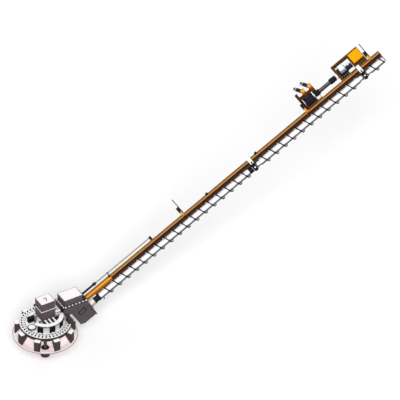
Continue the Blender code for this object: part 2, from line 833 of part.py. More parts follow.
def motor(boom):
    """The drive motor on its tray behind the beam, with two eye-ended arms."""
    centre = (0, DRIVE_Y, DRIVE_Z)
    profile = (
        (MOTOR_S[0], MOTOR_R * 0.86),
        (MOTOR_S[0] + 0.020, MOTOR_R),
        (MOTOR_S[1], MOTOR_R),
    )
    body = turned("motor", profile, "x", centre, 32, "black_iron", boom)
    tray_top = TRAY_BOTTOM + TRAY_T
    foot = box(
        "motor_foot",
        (MOTOR_S[0] + 0.050, DRIVE_Y - 0.090, tray_top + SEAT),
        (MOTOR_S[1] - 0.050, DRIVE_Y + 0.090, DRIVE_Z - 0.040),
        "black_iron", boom,
    )
    combine(body, foot)
    flange = ring(
        "motor_flange", CARDAN_STUB_R + RUNNING, MOTOR_FLANGE_R, MOTOR_S[1] - 0.004,
        MOTOR_S[1] + MOTOR_FLANGE_T, "x", centre, 32, "light_steel", boom,
    )
    combine(body, flange)
    shield = turned(
        "motor_shield",
        ((MOTOR_S[0] - 0.016, MOTOR_SHIELD_R), (MOTOR_S[0] + 0.006, MOTOR_SHIELD_R)),
        "x", centre, 32, "light_steel", boom,
    )
    combine(body, shield)
    tray = box(
        "motor_tray",
        (TRAY_S[0], 0.168, TRAY_BOTTOM), (TRAY_S[1], TRAY_END_Y, tray_top),
        "beam_orange", boom,
    )
    upstand = box(
        "tray_upstand",
        (TRAY_S[0], 0.168, TRAY_BOTTOM + 0.002), (TRAY_S[1], 0.180, BEAM_Z[1] - 0.005),
        "beam_orange", boom,
    )
    combine(tray, upstand)
    pad = box(
        "tray_pad",
        (TRAY_S[0] + 0.010, BEAM_Y[1] + SEAT, BEAM_Z[0] + 0.006),
        (TRAY_S[1] - 0.010, 0.172, BEAM_Z[1] - 0.008),
        "beam_orange", boom,
    )
    combine(tray, pad)
    for name, (low, high, top) in TRAY_BLOCKS.items():
        block = box(
            f"tray_block_{name}", (*low, TRAY_BOTTOM + 0.004), (*high, top), "beam_orange", boom
        )
        combine(tray, block)
    for number, station in enumerate(ARM_S, start=1):
        eye_arm(number, station, boom)


def eye_arm(number, station, boom):
    """An amber block with a short arm that ends in an eye."""
    low, high = ARM_Z
    arm = box(
        f"eye_arm_{number}",
        (station - 0.057, ARM_ROOT_Y - 0.070, low), (station + 0.057, ARM_ROOT_Y + 0.075, high),
        "root_amber", boom,
    )
    along, across = EYE_OFFSET
    reach = hypot(along, across)
    mid = (low + high) / 2.0
    bearing = atan2(across, along)
    neck = box(
        f"eye_neck_{number}",
        (0.0, -0.042, mid - 0.034), (reach - EYE_R * 0.6, 0.042, mid + 0.034),
        "leg_paint", boom,
    )
    eye = ring(
        f"eye_end_{number}", EYE_HOLE_R, EYE_R, mid - 0.026, mid + 0.026,
        "z", (0, 0, 0), 24, "light_steel", boom,
    )
    neck.location = (station, ARM_ROOT_Y, 0.0)
    neck.rotation_euler = (0.0, 0.0, bearing)
    eye.location = (station + along, ARM_ROOT_Y + across, 0.0)
    combine(arm, neck)
    hole = turned(
        f"eye_hole_{number}", ((mid - 0.060, EYE_HOLE_R - 0.0005), (mid + 0.060, EYE_HOLE_R - 0.0005)),
        "z", (0, 0, 0), 24, "light_steel", boom,
    )
    hole.location = eye.location
    combine(arm, eye)
    combine(arm, hole, "DIFFERENCE")


def cardan_shaft(axis):
    """The cardan shaft between the motor and the wheel gearbox, with its two joints."""
    start = MOTOR_S[1] + SEAT + 0.001
    end = FRAME_S[0] + FRAME_BAR + SEAT - RUNNING
    (near_low, near_high), (far_low, far_high) = YOKE_S
    profile = (
        (start, CARDAN_STUB_R),
        (near_low, CARDAN_STUB_R),
        (near_low, YOKE_R),
        (near_high, YOKE_R),
        (near_high, CARDAN_R),
        (far_low, CARDAN_R),
        (far_low, YOKE_R),
        (far_high, YOKE_R),
        (far_high, CARDAN_STUB_R),
        (end, CARDAN_STUB_R),
    )
    turned("cardan_shaft", profile, "x", (0, 0, 0), 24, "black_iron", axis)


def wheel_frame(boom):
    """The open frame that carries the gearbox and the drive wheel behind the beam."""
    near = BEAM_Y[1] + SEAT
    frame = box(
        "wheel_frame",
        (FRAME_S[0], near, FRAME_Z[0]), (FRAME_S[1], near + FRAME_BAR, FRAME_Z[1]),
        "board_brown", boom,
    )
    outer = box(
        "frame_outer_bar",
        (FRAME_S[0], FRAME_END_Y - FRAME_BAR, FRAME_Z[0]), (FRAME_S[1], FRAME_END_Y, FRAME_Z[1]),
        "board_brown", boom,
    )
    combine(frame, outer)
    spans = {
        "near": (FRAME_S[0], FRAME_S[0] + FRAME_BAR),
        "mid": FRAME_MID_S,
        "far": (FRAME_S[1] - FRAME_BAR, FRAME_S[1]),
    }
    for name, (low, high) in spans.items():
        bar = box(
            f"frame_cross_{name}",
            (low, near + 0.010, FRAME_Z[0]), (high, FRAME_END_Y - 0.010, FRAME_Z[1]),
            "board_brown", boom,
        )
        combine(frame, bar)
    cover = box(
        "frame_cover",
        (FRAME_MID_S[1] - 0.006, near + FRAME_BAR - 0.005, FRAME_Z[1] - 0.012),
        (FRAME_S[1] - FRAME_BAR + 0.005, FRAME_COVER_END_Y, FRAME_Z[1]),
        "board_brown", boom,
    )
    combine(frame, cover)
    collar = turned(
        "shaft_collar",
        ((FRAME_S[0] - 0.034, SHAFT_COLLAR_R), (FRAME_S[0] + 0.004, SHAFT_COLLAR_R)),
        "x", (0, DRIVE_Y, DRIVE_Z), 24, "light_steel", boom,
    )
    combine(frame, collar)
    plates = {"mid": (FRAME_MID_S[0] + 0.010, FRAME_MID_S[0] + 0.025), "far": (9.885, 9.900)}
    for name, (low, high) in plates.items():
        plate = box(
            f"bearing_plate_{name}",
            (low, WHEEL_Y - BEARING_PLATE_HALF, BEARING_PLATE_BOTTOM),
            (high, WHEEL_Y + BEARING_PLATE_HALF, FRAME_Z[0] + 0.010),
            "board_brown", boom,
        )
        combine(frame, plate)
    axle_bore = turned(
        "axle_bore", ((FRAME_MID_S[0] - 0.004, AXLE_R + RUNNING), (9.950, AXLE_R + RUNNING)),
        "x", (0, WHEEL_Y, WHEEL_Z), 24, "board_brown", boom,
    )
    combine(frame, axle_bore, "DIFFERENCE")
    shaft_bore = turned(
        "shaft_bore", ((FRAME_S[0] - 0.060, 0.030), (FRAME_S[0] + FRAME_BAR + 0.020, 0.030)),
        "x", (0, DRIVE_Y, DRIVE_Z), 20, "board_brown", boom,
    )
    combine(frame, shaft_bore, "DIFFERENCE")


def wheel_drive(boom):
    """The gearbox in the frame and the guard over the wheel."""
    gearbox = box(
        "wheel_gearbox",
        (FRAME_S[0] + FRAME_BAR + SEAT, GEARBOX_Y[0], GEARBOX_Z[0]),
        (GEARBOX_END, GEARBOX_Y[1], GEARBOX_Z[1]),
        "case_paint", boom,
    )
    neck = turned(
        "gearbox_neck",
        ((GEARBOX_END - 0.010, GEARBOX_NECK_R), (GEARBOX_NECK_END, GEARBOX_NECK_R)),
        "x", (0, WHEEL_Y, WHEEL_Z), 28, "case_paint", boom,
    )
    combine(gearbox, neck)
    cap = box(
        "gearbox_cap",
        (GEARBOX_CAP_S[0], GEARBOX_CAP_Y[0], GEARBOX_Z[1] - 0.010),
        (GEARBOX_CAP_S[1], GEARBOX_CAP_Y[1], GEARBOX_CAP_TOP),
        "light_steel", boom,
    )
    combine(gearbox, cap)
    low = FRAME_Z[1] + SEAT
    side = (
        (GUARD_S[0], low),
        (GUARD_S[0] + GUARD_T, low),
        (GUARD_S[0] + GUARD_T, GUARD_TOP - GUARD_T),
        (GUARD_S[1] - GUARD_T, GUARD_TOP - GUARD_T),
        (GUARD_S[1] - GUARD_T, low),
        (GUARD_S[1], low),
        (GUARD_S[1], GUARD_TOP),
        (GUARD_S[0], GUARD_TOP),
    )
    prism("wheel_guard", side, "xz", GUARD_Y[0], GUARD_Y[1], "guard_yellow", boom)


def drive_wheel(axis):
    """The lugged drum wheel with its axle."""
    low, high = WHEEL_S
    outline = []
    for k in range(WHEEL_LUGS):
        base = 2.0 * pi * k / WHEEL_LUGS
        for radius, turn in (
            (WHEEL_DRUM_R, -0.130), (WHEEL_R, -0.080), (WHEEL_R, 0.080), (WHEEL_DRUM_R, 0.130),
        ):
            outline.append((radius * cos(base + turn), radius * sin(base + turn)))
    wheel = prism("drive_wheel", outline, "yz", low, high, "wheel_rubber", axis)
    axle = turned(
        "wheel_axle", ((FRAME_MID_S[0] + 0.012, AXLE_R), (9.898, AXLE_R)),
        "x", (0, 0, 0), 24, "light_steel", axis,
    )
    combine(wheel, axle)


def build():
    """Every piece, from the floor up and then out along the boom."""
    hub = axis_empty("hub_axis", location=(ORIGIN_R, 0.0, 0.0))
    turret = axis_empty("slewing_axis", location=(ORIGIN_R, 0.0, 0.0))
    boom = axis_empty("screw_axis", turret, (BOOM_ROOT_X, 0.0, BOOM_ROOT_Z), -BOOM_INCLINE)
    cardan = axis_empty("cardan_axis", boom, (0.0, DRIVE_Y, DRIVE_Z))
    wheel = axis_empty("wheel_axis", boom, (0.0, WHEEL_Y, WHEEL_Z))
    hopper(hub)
    legs(hub)
    slewing_ring(hub, turret)
    turret_cage(turret)
    centre_box(turret)
    drive_case(turret)
    case_trim(boom)
    screw_shaft(boom)
    for number, (start, end, phase) in enumerate(FLIGHT_SPANS, start=1):
        flight(f"screw_flight_{number}", start, end, phase, boom)
    beam(boom)
    beam_trim(boom)
    for number, station in enumerate(HANGER_S, start=1):
        hanger(number, station, boom)
    for number, station in enumerate(SENSOR_S, start=1):
        sensor(number, station, boom)
    motor(boom)
    cardan_shaft(cardan)
    wheel_frame(boom)
    wheel_drive(boom)
    drive_wheel(wheel)


build()
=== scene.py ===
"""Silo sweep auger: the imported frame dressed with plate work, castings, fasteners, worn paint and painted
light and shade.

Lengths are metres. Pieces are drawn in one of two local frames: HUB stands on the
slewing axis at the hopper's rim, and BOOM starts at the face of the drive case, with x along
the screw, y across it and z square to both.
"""
from itertools import product
from math import atan2, ceil, cos, hypot, pi, radians, sin

import bmesh
import bpy
from mathutils import Matrix, Vector


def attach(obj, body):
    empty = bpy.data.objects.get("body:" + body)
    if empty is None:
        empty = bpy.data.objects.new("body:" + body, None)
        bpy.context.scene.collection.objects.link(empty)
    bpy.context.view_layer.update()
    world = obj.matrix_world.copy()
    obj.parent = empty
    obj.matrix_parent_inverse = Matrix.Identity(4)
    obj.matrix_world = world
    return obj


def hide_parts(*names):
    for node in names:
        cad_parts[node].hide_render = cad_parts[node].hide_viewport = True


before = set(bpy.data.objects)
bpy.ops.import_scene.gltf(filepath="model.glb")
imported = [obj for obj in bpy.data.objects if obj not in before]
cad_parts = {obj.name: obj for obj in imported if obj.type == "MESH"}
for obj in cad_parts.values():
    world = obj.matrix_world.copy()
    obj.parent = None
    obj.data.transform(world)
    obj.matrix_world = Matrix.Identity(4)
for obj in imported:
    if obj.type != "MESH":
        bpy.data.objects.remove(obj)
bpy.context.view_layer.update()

INCLINE = radians(27.66)
SLEW_X = 0.842
HUB = Matrix.Translation((SLEW_X, 0.0, 0.0))
BOOM_ROOT = (1.376, 0.420)
BOOM = Matrix.Translation((SLEW_X + BOOM_ROOT[0], 0.0, BOOM_ROOT[1])) @ Matrix.Rotation(-INCLINE, 4, "Y")
BOOM_END = 10.290


# Paints and metals, with painted light and shade

EDGE_GAIN = 9.0
EDGE_RANGE = (0.10, 0.75)
PIT_SCALE = 0.4
RUN_STRETCH = (14.0, 14.0, 1.6)
RUN_RANGE = (0.48, 0.80)
BROAD_SHARE = 0.65
POLISH_SWING = 0.30
STAIN_DULLNESS = 0.25
GRAIN_DEPTH = 0.002
BLACK_EDGE = (20, 18, 18)


def tone(red, green, blue):
    """A colour as a painter's chart gives it, from 0 to 255, in linear light."""
    def linear(value):
        value /= 255.0
        return value / 12.92 if value <= 0.04045 else ((value + 0.055) / 1.055) ** 2.4
    return (linear(red), linear(green), linear(blue), 1.0)


def shader_group(name, inputs, *outputs):
    """An empty node group with named sockets, and its two ends."""
    group = bpy.data.node_groups.new(name, "ShaderNodeTree")
    for label, value in inputs.items():
        kind = "NodeSocketVector" if isinstance(value, tuple) else "NodeSocketFloat"
        socket = group.interface.new_socket(name=label, in_out="INPUT", socket_type=kind)
        socket.default_value = value
    for label in outputs:
        group.interface.new_socket(name=label, in_out="OUTPUT", socket_type="NodeSocketFloat")
    return group, group.nodes.new("NodeGroupInput"), group.nodes.new("NodeGroupOutput")


def feed(tree, socket, source):
    """Link a socket to another, or give it a plain value."""
    if isinstance(source, bpy.types.NodeSocket):
        tree.links.new(source, socket)
    else:
        socket.default_value = source


def maths(tree, operation, *sources, clamp=False):
    """A Math node on sockets or numbers; returns its output."""
    made = tree.nodes.new("ShaderNodeMath")
    made.operation = operation
    made.use_clamp = clamp
    for socket, source in zip(made.inputs, sources):
        feed(tree, socket, source)
    return made.outputs[0]


def vector_maths(tree, operation, first, second):
    """A Vector Math node on two sockets or values; returns its outputs."""
    made = tree.nodes.new("ShaderNodeVectorMath")
    made.operation = operation
    feed(tree, made.inputs[0], first)
    feed(tree, made.inputs[1], second)
    return made.outputs


def noise(tree, vector, scale, detail=3.0, roughness=0.55):
    """A noise value over the surface."""
    made = tree.nodes.new("ShaderNodeTexNoise")
    feed(tree, made.inputs["Vector"], vector)
    feed(tree, made.inputs["Scale"], scale)
    made.inputs["Detail"].default_value = detail
    made.inputs["Roughness"].default_value = roughness
    return made.outputs["Fac"]


def span(tree, value, low, high):
    """A value spread smoothly from 0 at low to 1 at high."""
    made = tree.nodes.new("ShaderNodeMapRange")
    made.interpolation_type = "SMOOTHSTEP"
    feed(tree, made.inputs["Value"], value)
    feed(tree, made.inputs["From Min"], low)
    feed(tree, made.inputs["From Max"], high)
    return made.outputs["Result"]


def mix(tree, share, first, second, mode="MIX"):
    """One colour laid over another."""
    made = tree.nodes.new("ShaderNodeMix")
    made.data_type = "RGBA"
    made.blend_type = mode
    feed(tree, made.inputs["Factor"], share)
    feed(tree, made.inputs["A"], first)
    feed(tree, made.inputs["B"], second)
    return made.outputs["Result"]


def place_on_piece(tree):
    """The point on the piece, in metres."""
    return tree.nodes.new("ShaderNodeTexCoord").outputs["Object"]


def make_blotches():
    """Slow and fine colour changes, as on paint that has aged unevenly."""
    group, start, end = shader_group("blotches", {"Scale": 3.0, "Fine Scale": 40.0}, "Broad", "Fine")
    where = place_on_piece(group)
    group.links.new(noise(group, where, start.outputs["Scale"], 4.0), end.inputs["Broad"])
    group.links.new(noise(group, where, start.outputs["Fine Scale"], 5.0, 0.65), end.inputs["Fine"])
    return group


def make_edge_line():
    """Grime and bare metal along a piece's edges, broken up by noise."""
    group, start, end = shader_group("edge line", {"Width": 0.008, "Breakup": 0.35}, "Mask")
    rounded = group.nodes.new("ShaderNodeBevel")
    rounded.samples = 6
    feed(group, rounded.inputs["Radius"], start.outputs["Width"])
    surface = group.nodes.new("ShaderNodeNewGeometry").outputs["Normal"]
    across = vector_maths(group, "DOT_PRODUCT", rounded.outputs["Normal"], surface)
    bend = maths(group, "SUBTRACT", 1.0, across["Value"])
    ragged = noise(group, place_on_piece(group), 55.0, 4.0)
    cut = maths(group, "MULTIPLY", maths(group, "SUBTRACT", ragged, 0.5), start.outputs["Breakup"])
    edge = maths(group, "ADD", maths(group, "MULTIPLY", bend, EDGE_GAIN), cut)
    group.links.new(span(group, edge, *EDGE_RANGE), end.inputs["Mask"])
    return group


def make_painted_top_light():
    """Where a surface looks up: the mask of the painted top light, set against the painted shade on the
    other faces.
    """
    inputs = {"Tilt": 0.35, "Softness": 0.35, "Breakup": 0.15}
    group, start, end = shader_group("painted top light", inputs, "Mask")
    parts = group.nodes.new("ShaderNodeSeparateXYZ")
    group.links.new(group.nodes.new("ShaderNodeNewGeometry").outputs["Normal"], parts.inputs[0])
    ragged = maths(group, "SUBTRACT", noise(group, place_on_piece(group), 9.0, 5.0), 0.5)
    cut = maths(group, "MULTIPLY", ragged, start.outputs["Breakup"])
    height = maths(group, "ADD", parts.outputs["Z"], cut)
    top = maths(group, "ADD", start.outputs["Tilt"], start.outputs["Softness"])
    group.links.new(span(group, height, start.outputs["Tilt"], top), end.inputs["Mask"])
    return group


def make_grain():
    """The skin of the material: paint texture, casting pits or brushed lines."""
    inputs = {"Scale": 300.0, "Stretch": (1.0, 1.0, 1.0), "Pits": 0.0}
    group, start, end = shader_group("grain", inputs, "Height")
    where = vector_maths(group, "MULTIPLY", place_on_piece(group), start.outputs["Stretch"])[0]
    lines = noise(group, where, start.outputs["Scale"], 2.0)
    pits = group.nodes.new("ShaderNodeTexVoronoi")
    group.links.new(where, pits.inputs["Vector"])
    feed(group, pits.inputs["Scale"], maths(group, "MULTIPLY", start.outputs["Scale"], PIT_SCALE))
    hollow = maths(group, "MULTIPLY", pits.outputs["Distance"], start.outputs["Pits"])
    group.links.new(maths(group, "ADD", lines, hollow), end.inputs["Height"])
    return group


def make_run_marks():
    """Dirt that rain and dust have drawn down an upright face."""
    group, start, end = shader_group("run marks", {"Amount": 0.3}, "Mask")
    where = vector_maths(group, "MULTIPLY", place_on_piece(group), RUN_STRETCH)[0]
    runs = span(group, noise(group, where, 1.0, 5.0, 0.6), *RUN_RANGE)
    group.links.new(maths(group, "MULTIPLY", runs, start.outputs["Amount"]), end.inputs["Mask"])
    return group


GROUPS = {
    "blotches": make_blotches(),
    "edge line": make_edge_line(),
    "painted top light": make_painted_top_light(),
    "grain": make_grain(),
    "run marks": make_run_marks(),
}


def place_group(tree, name, **values):
    """A shared effect placed in a material with its own values."""
    made = tree.nodes.new("ShaderNodeGroup")
    made.node_tree = GROUPS[name]
    for label, value in values.items():
        made.inputs[label.replace("_", " ").title()].default_value = value
    return made.outputs


def make_finish(name, upper, side, edge, rough=0.45, metal=0.0, line=0.008, grain=260.0,
                stretch=(1.0, 1.0, 1.0), pits=0.0, relief=0.15, dirt=0.35, tilt=0.35,
                soft=0.35, variation=0.16, gloss=0.06):
    """A worn finish with painted light: a lit colour on faces that look up, a painted shade colour on
    upright and downward faces, and one along the edges.
    """
    made = bpy.data.materials.new(name)
    made.use_nodes = True
    tree = made.node_tree
    surface = tree.nodes["Principled BSDF"]
    blotches = place_group(tree, "blotches", scale=2.2, fine_scale=34.0)
    # Painted light: faces that look up take the lit colour, the rest the painted shade colour.
    painted_light = place_group(tree, "painted top light", tilt=tilt, softness=soft)
    edges = place_group(tree, "edge line", width=line)
    runs = place_group(tree, "run marks", amount=dirt)
    skin = place_group(tree, "grain", scale=grain, stretch=stretch, pits=pits)
    # Painted shade colour on upright and downward faces, painted top light where the surface looks up.
    body = mix(tree, painted_light["Mask"], tone(*side), tone(*upper))
    upright = maths(tree, "MULTIPLY", maths(tree, "SUBTRACT", 1.0, painted_light["Mask"]), runs["Mask"])
    stained = mix(tree, upright, body, tone(*edge))
    shade = maths(tree, "ADD", maths(tree, "MULTIPLY", blotches["Broad"], BROAD_SHARE),
                  maths(tree, "MULTIPLY", blotches["Fine"], 1.0 - BROAD_SHARE))
    level = maths(tree, "ADD", 1.0 - variation / 2.0, maths(tree, "MULTIPLY", shade, variation))
    grey = tree.nodes.new("ShaderNodeCombineColor")
    for channel in ("Red", "Green", "Blue"):
        tree.links.new(level, grey.inputs[channel])
    varied = mix(tree, 1.0, stained, grey.outputs[0], "MULTIPLY")
    colour = mix(tree, edges["Mask"], varied, tone(*edge))
    tree.links.new(colour, surface.inputs["Base Color"])
    polish = maths(tree, "MULTIPLY", maths(tree, "SUBTRACT", blotches["Fine"], 0.5), POLISH_SWING)
    dull = maths(tree, "ADD", maths(tree, "ADD", rough, polish),
                 maths(tree, "MULTIPLY", upright, STAIN_DULLNESS), clamp=True)
    tree.links.new(dull, surface.inputs["Roughness"])
    surface.inputs["Metallic"].default_value = metal
    surface.inputs["Specular IOR Level"].default_value = gloss
    bump = tree.nodes.new("ShaderNodeBump")
    bump.inputs["Strength"].default_value = relief
    bump.inputs["Distance"].default_value = GRAIN_DEPTH
    tree.links.new(skin["Height"], bump.inputs["Height"])
    tree.links.new(bump.outputs["Normal"], surface.inputs["Normal"])
    return made


# In each finish, upper is the painted top light and side the painted shade on upright and downward faces;
# tilt and soft set where one turns into the other.
FINISH_VALUES = {
    "hopper white": dict(
        upper=(246, 229, 231), side=(228, 212, 214), edge=(176, 164, 166), line=0.003, dirt=0.2,
        tilt=0.1, variation=0.08),
    "rim grey": dict(
        upper=(128, 118, 120), side=(104, 96, 98), edge=(80, 74, 76), line=0.003, tilt=0.3),
    "ring white": dict(
        upper=(250, 249, 249), side=(44, 41, 40), edge=(52, 50, 50), rough=0.4, line=0.018, relief=0.08,
        stretch=(1.0, 1.0, 0.1), variation=0.08),
    "plate white": dict(
        upper=(252, 252, 252), side=(120, 116, 116), edge=(60, 57, 57), rough=0.4, line=0.016, dirt=0.4,
        variation=0.08),
    "seam white": dict(
        upper=(244, 240, 240), side=(226, 220, 222), edge=(150, 144, 146), rough=0.4, line=0.004,
        dirt=0.2),
    "lid white": dict(
        upper=(250, 237, 238), side=(66, 58, 61), edge=(54, 48, 49), rough=0.42, line=0.045, dirt=0.3,
        variation=0.06),
    "case grey": dict(
        upper=(92, 84, 87), side=(80, 71, 75), edge=BLACK_EDGE, rough=0.46, line=0.024, relief=0.2),
    "flange dark": dict(
        upper=(50, 44, 47), side=(30, 26, 28), edge=BLACK_EDGE, rough=0.46, relief=0.2),
    "flange tan edge": dict(
        upper=(74, 64, 66), side=(62, 54, 57), edge=(128, 100, 72), rough=0.46, line=0.006, relief=0.2),
    "leg grey": dict(
        upper=(80, 74, 72), side=(64, 56, 53), edge=BLACK_EDGE, rough=0.5, line=0.016, relief=0.2),
    "black iron": dict(
        upper=(40, 40, 41), side=(20, 20, 20), edge=(8, 8, 8), rough=0.55, metal=0.1, pits=0.6,
        relief=0.3),
    "machine black": dict(
        upper=(46, 42, 54), side=(30, 26, 34), edge=(8, 7, 9), rough=0.5, pits=0.5, relief=0.25,
        line=0.006),
    "bolt black": dict(
        upper=(30, 28, 28), side=(20, 18, 18), edge=(10, 9, 9), rough=0.5, metal=0.2, line=0.003),
    "bolt dark": dict(
        upper=(88, 86, 84), side=(40, 38, 36), edge=(18, 17, 16), metal=0.3, line=0.003),
    "bolt bright": dict(
        upper=(252, 252, 250), side=(224, 220, 216), edge=(150, 146, 142), rough=0.4, metal=0.1,
        line=0.002),
    # The tube: painted top light over a painted shade band along its lower half, placed by tilt and soft.
    "screw steel": dict(
        upper=(246, 245, 249), side=(80, 76, 81), edge=(70, 64, 70), rough=0.42, metal=0.05, line=0.005,
        tilt=0.07, soft=0.56, dirt=0.1, gloss=0.2, relief=0.08, stretch=(0.15, 1.0, 1.0), variation=0.10),
    "flight steel": dict(
        upper=(246, 244, 248), side=(232, 230, 234), edge=(90, 86, 90), rough=0.42, metal=0.05,
        line=0.006, tilt=-0.1, relief=0.08, variation=0.12),
    "rim steel": dict(
        upper=(20, 18, 19), side=(12, 11, 11), edge=(8, 7, 7), line=0.003, relief=0.1),
    "beam orange": dict(
        upper=(192, 142, 86), side=(56, 22, 3), edge=(60, 28, 8), line=0.007, dirt=0.3),
    "root amber": dict(
        upper=(236, 162, 60), side=(150, 84, 6), edge=(80, 42, 4), rough=0.42, line=0.009, dirt=0.3),
    "duct olive": dict(
        upper=(128, 88, 42), side=(84, 54, 16), edge=(60, 38, 12), rough=0.5, line=0.004, dirt=0.3),
    "board brown": dict(
        upper=(104, 72, 36), side=(90, 60, 32), edge=(34, 18, 6), rough=0.55, dirt=0.5, tilt=0.55),
    "frame brown": dict(
        upper=(92, 56, 20), side=(60, 30, 6), edge=(30, 16, 4), rough=0.5, line=0.011, dirt=0.4),
    "frame olive": dict(
        upper=(92, 58, 20), side=(66, 37, 10), edge=(40, 22, 4), rough=0.5, line=0.009, dirt=0.4),
    "guard yellow": dict(
        upper=(255, 168, 0), side=(196, 120, 10), edge=(150, 96, 6), dirt=0.3, variation=0.05),
    "tyre rubber": dict(
        upper=(52, 50, 50), side=(32, 30, 30), edge=(18, 17, 17), rough=0.82, line=0.006, relief=0.4,
        pits=0.4),
    "cream paint": dict(
        upper=(238, 227, 220), side=(170, 154, 148), edge=(96, 84, 80), rough=0.42, dirt=0.3),
    "cap grey": dict(
        upper=(228, 236, 240), side=(150, 162, 170), edge=(60, 62, 66), rough=0.42, line=0.010, dirt=0.2),
    "end grey": dict(
        upper=(150, 146, 148), side=(120, 116, 118), edge=(60, 56, 58), rough=0.42, line=0.005, dirt=0.3),
    "pipe brown": dict(
        upper=(150, 128, 104), side=(84, 66, 48), edge=(40, 30, 22), line=0.003, tilt=0.2),
    "shaft grey": dict(
        upper=(92, 90, 98), side=(34, 33, 37), edge=(20, 20, 20), rough=0.4, metal=0.2, line=0.006),
}
PAINT = {name: make_finish(name, **values) for name, values in FINISH_VALUES.items()}


# Forms

UPWARD = (0, 0, 1)
OUTWARD = (1, 0, 0)
FRONTWARD = (0, -1, 0)
GAP = 0.0003


def put(name, data):
    """An object with its data, in the scene."""
    made = bpy.data.objects.new(name, data)
    bpy.context.scene.collection.objects.link(made)
    return made


def direction_frame(point, direction):
    """A frame at a point whose z axis runs along a direction."""
    along = Vector(direction).normalized()
    return Matrix.Translation(point) @ along.to_track_quat("Z", "X").to_matrix().to_4x4()


def about_z(degrees):
    """A turn about the slewing axis."""
    return Matrix.Rotation(radians(degrees), 4, "Z")


def spaced(low, high, count):
    """Evenly spaced stations, both ends included."""
    return [low + (high - low) * k / (count - 1) for k in range(count)]


def mirrored(half, middle=0.0):
    """A profile from its first half, given by distance from the middle and radius."""
    return [(middle - x, r) for x, r in half] + [(middle + x, r) for x, r in reversed(half)]


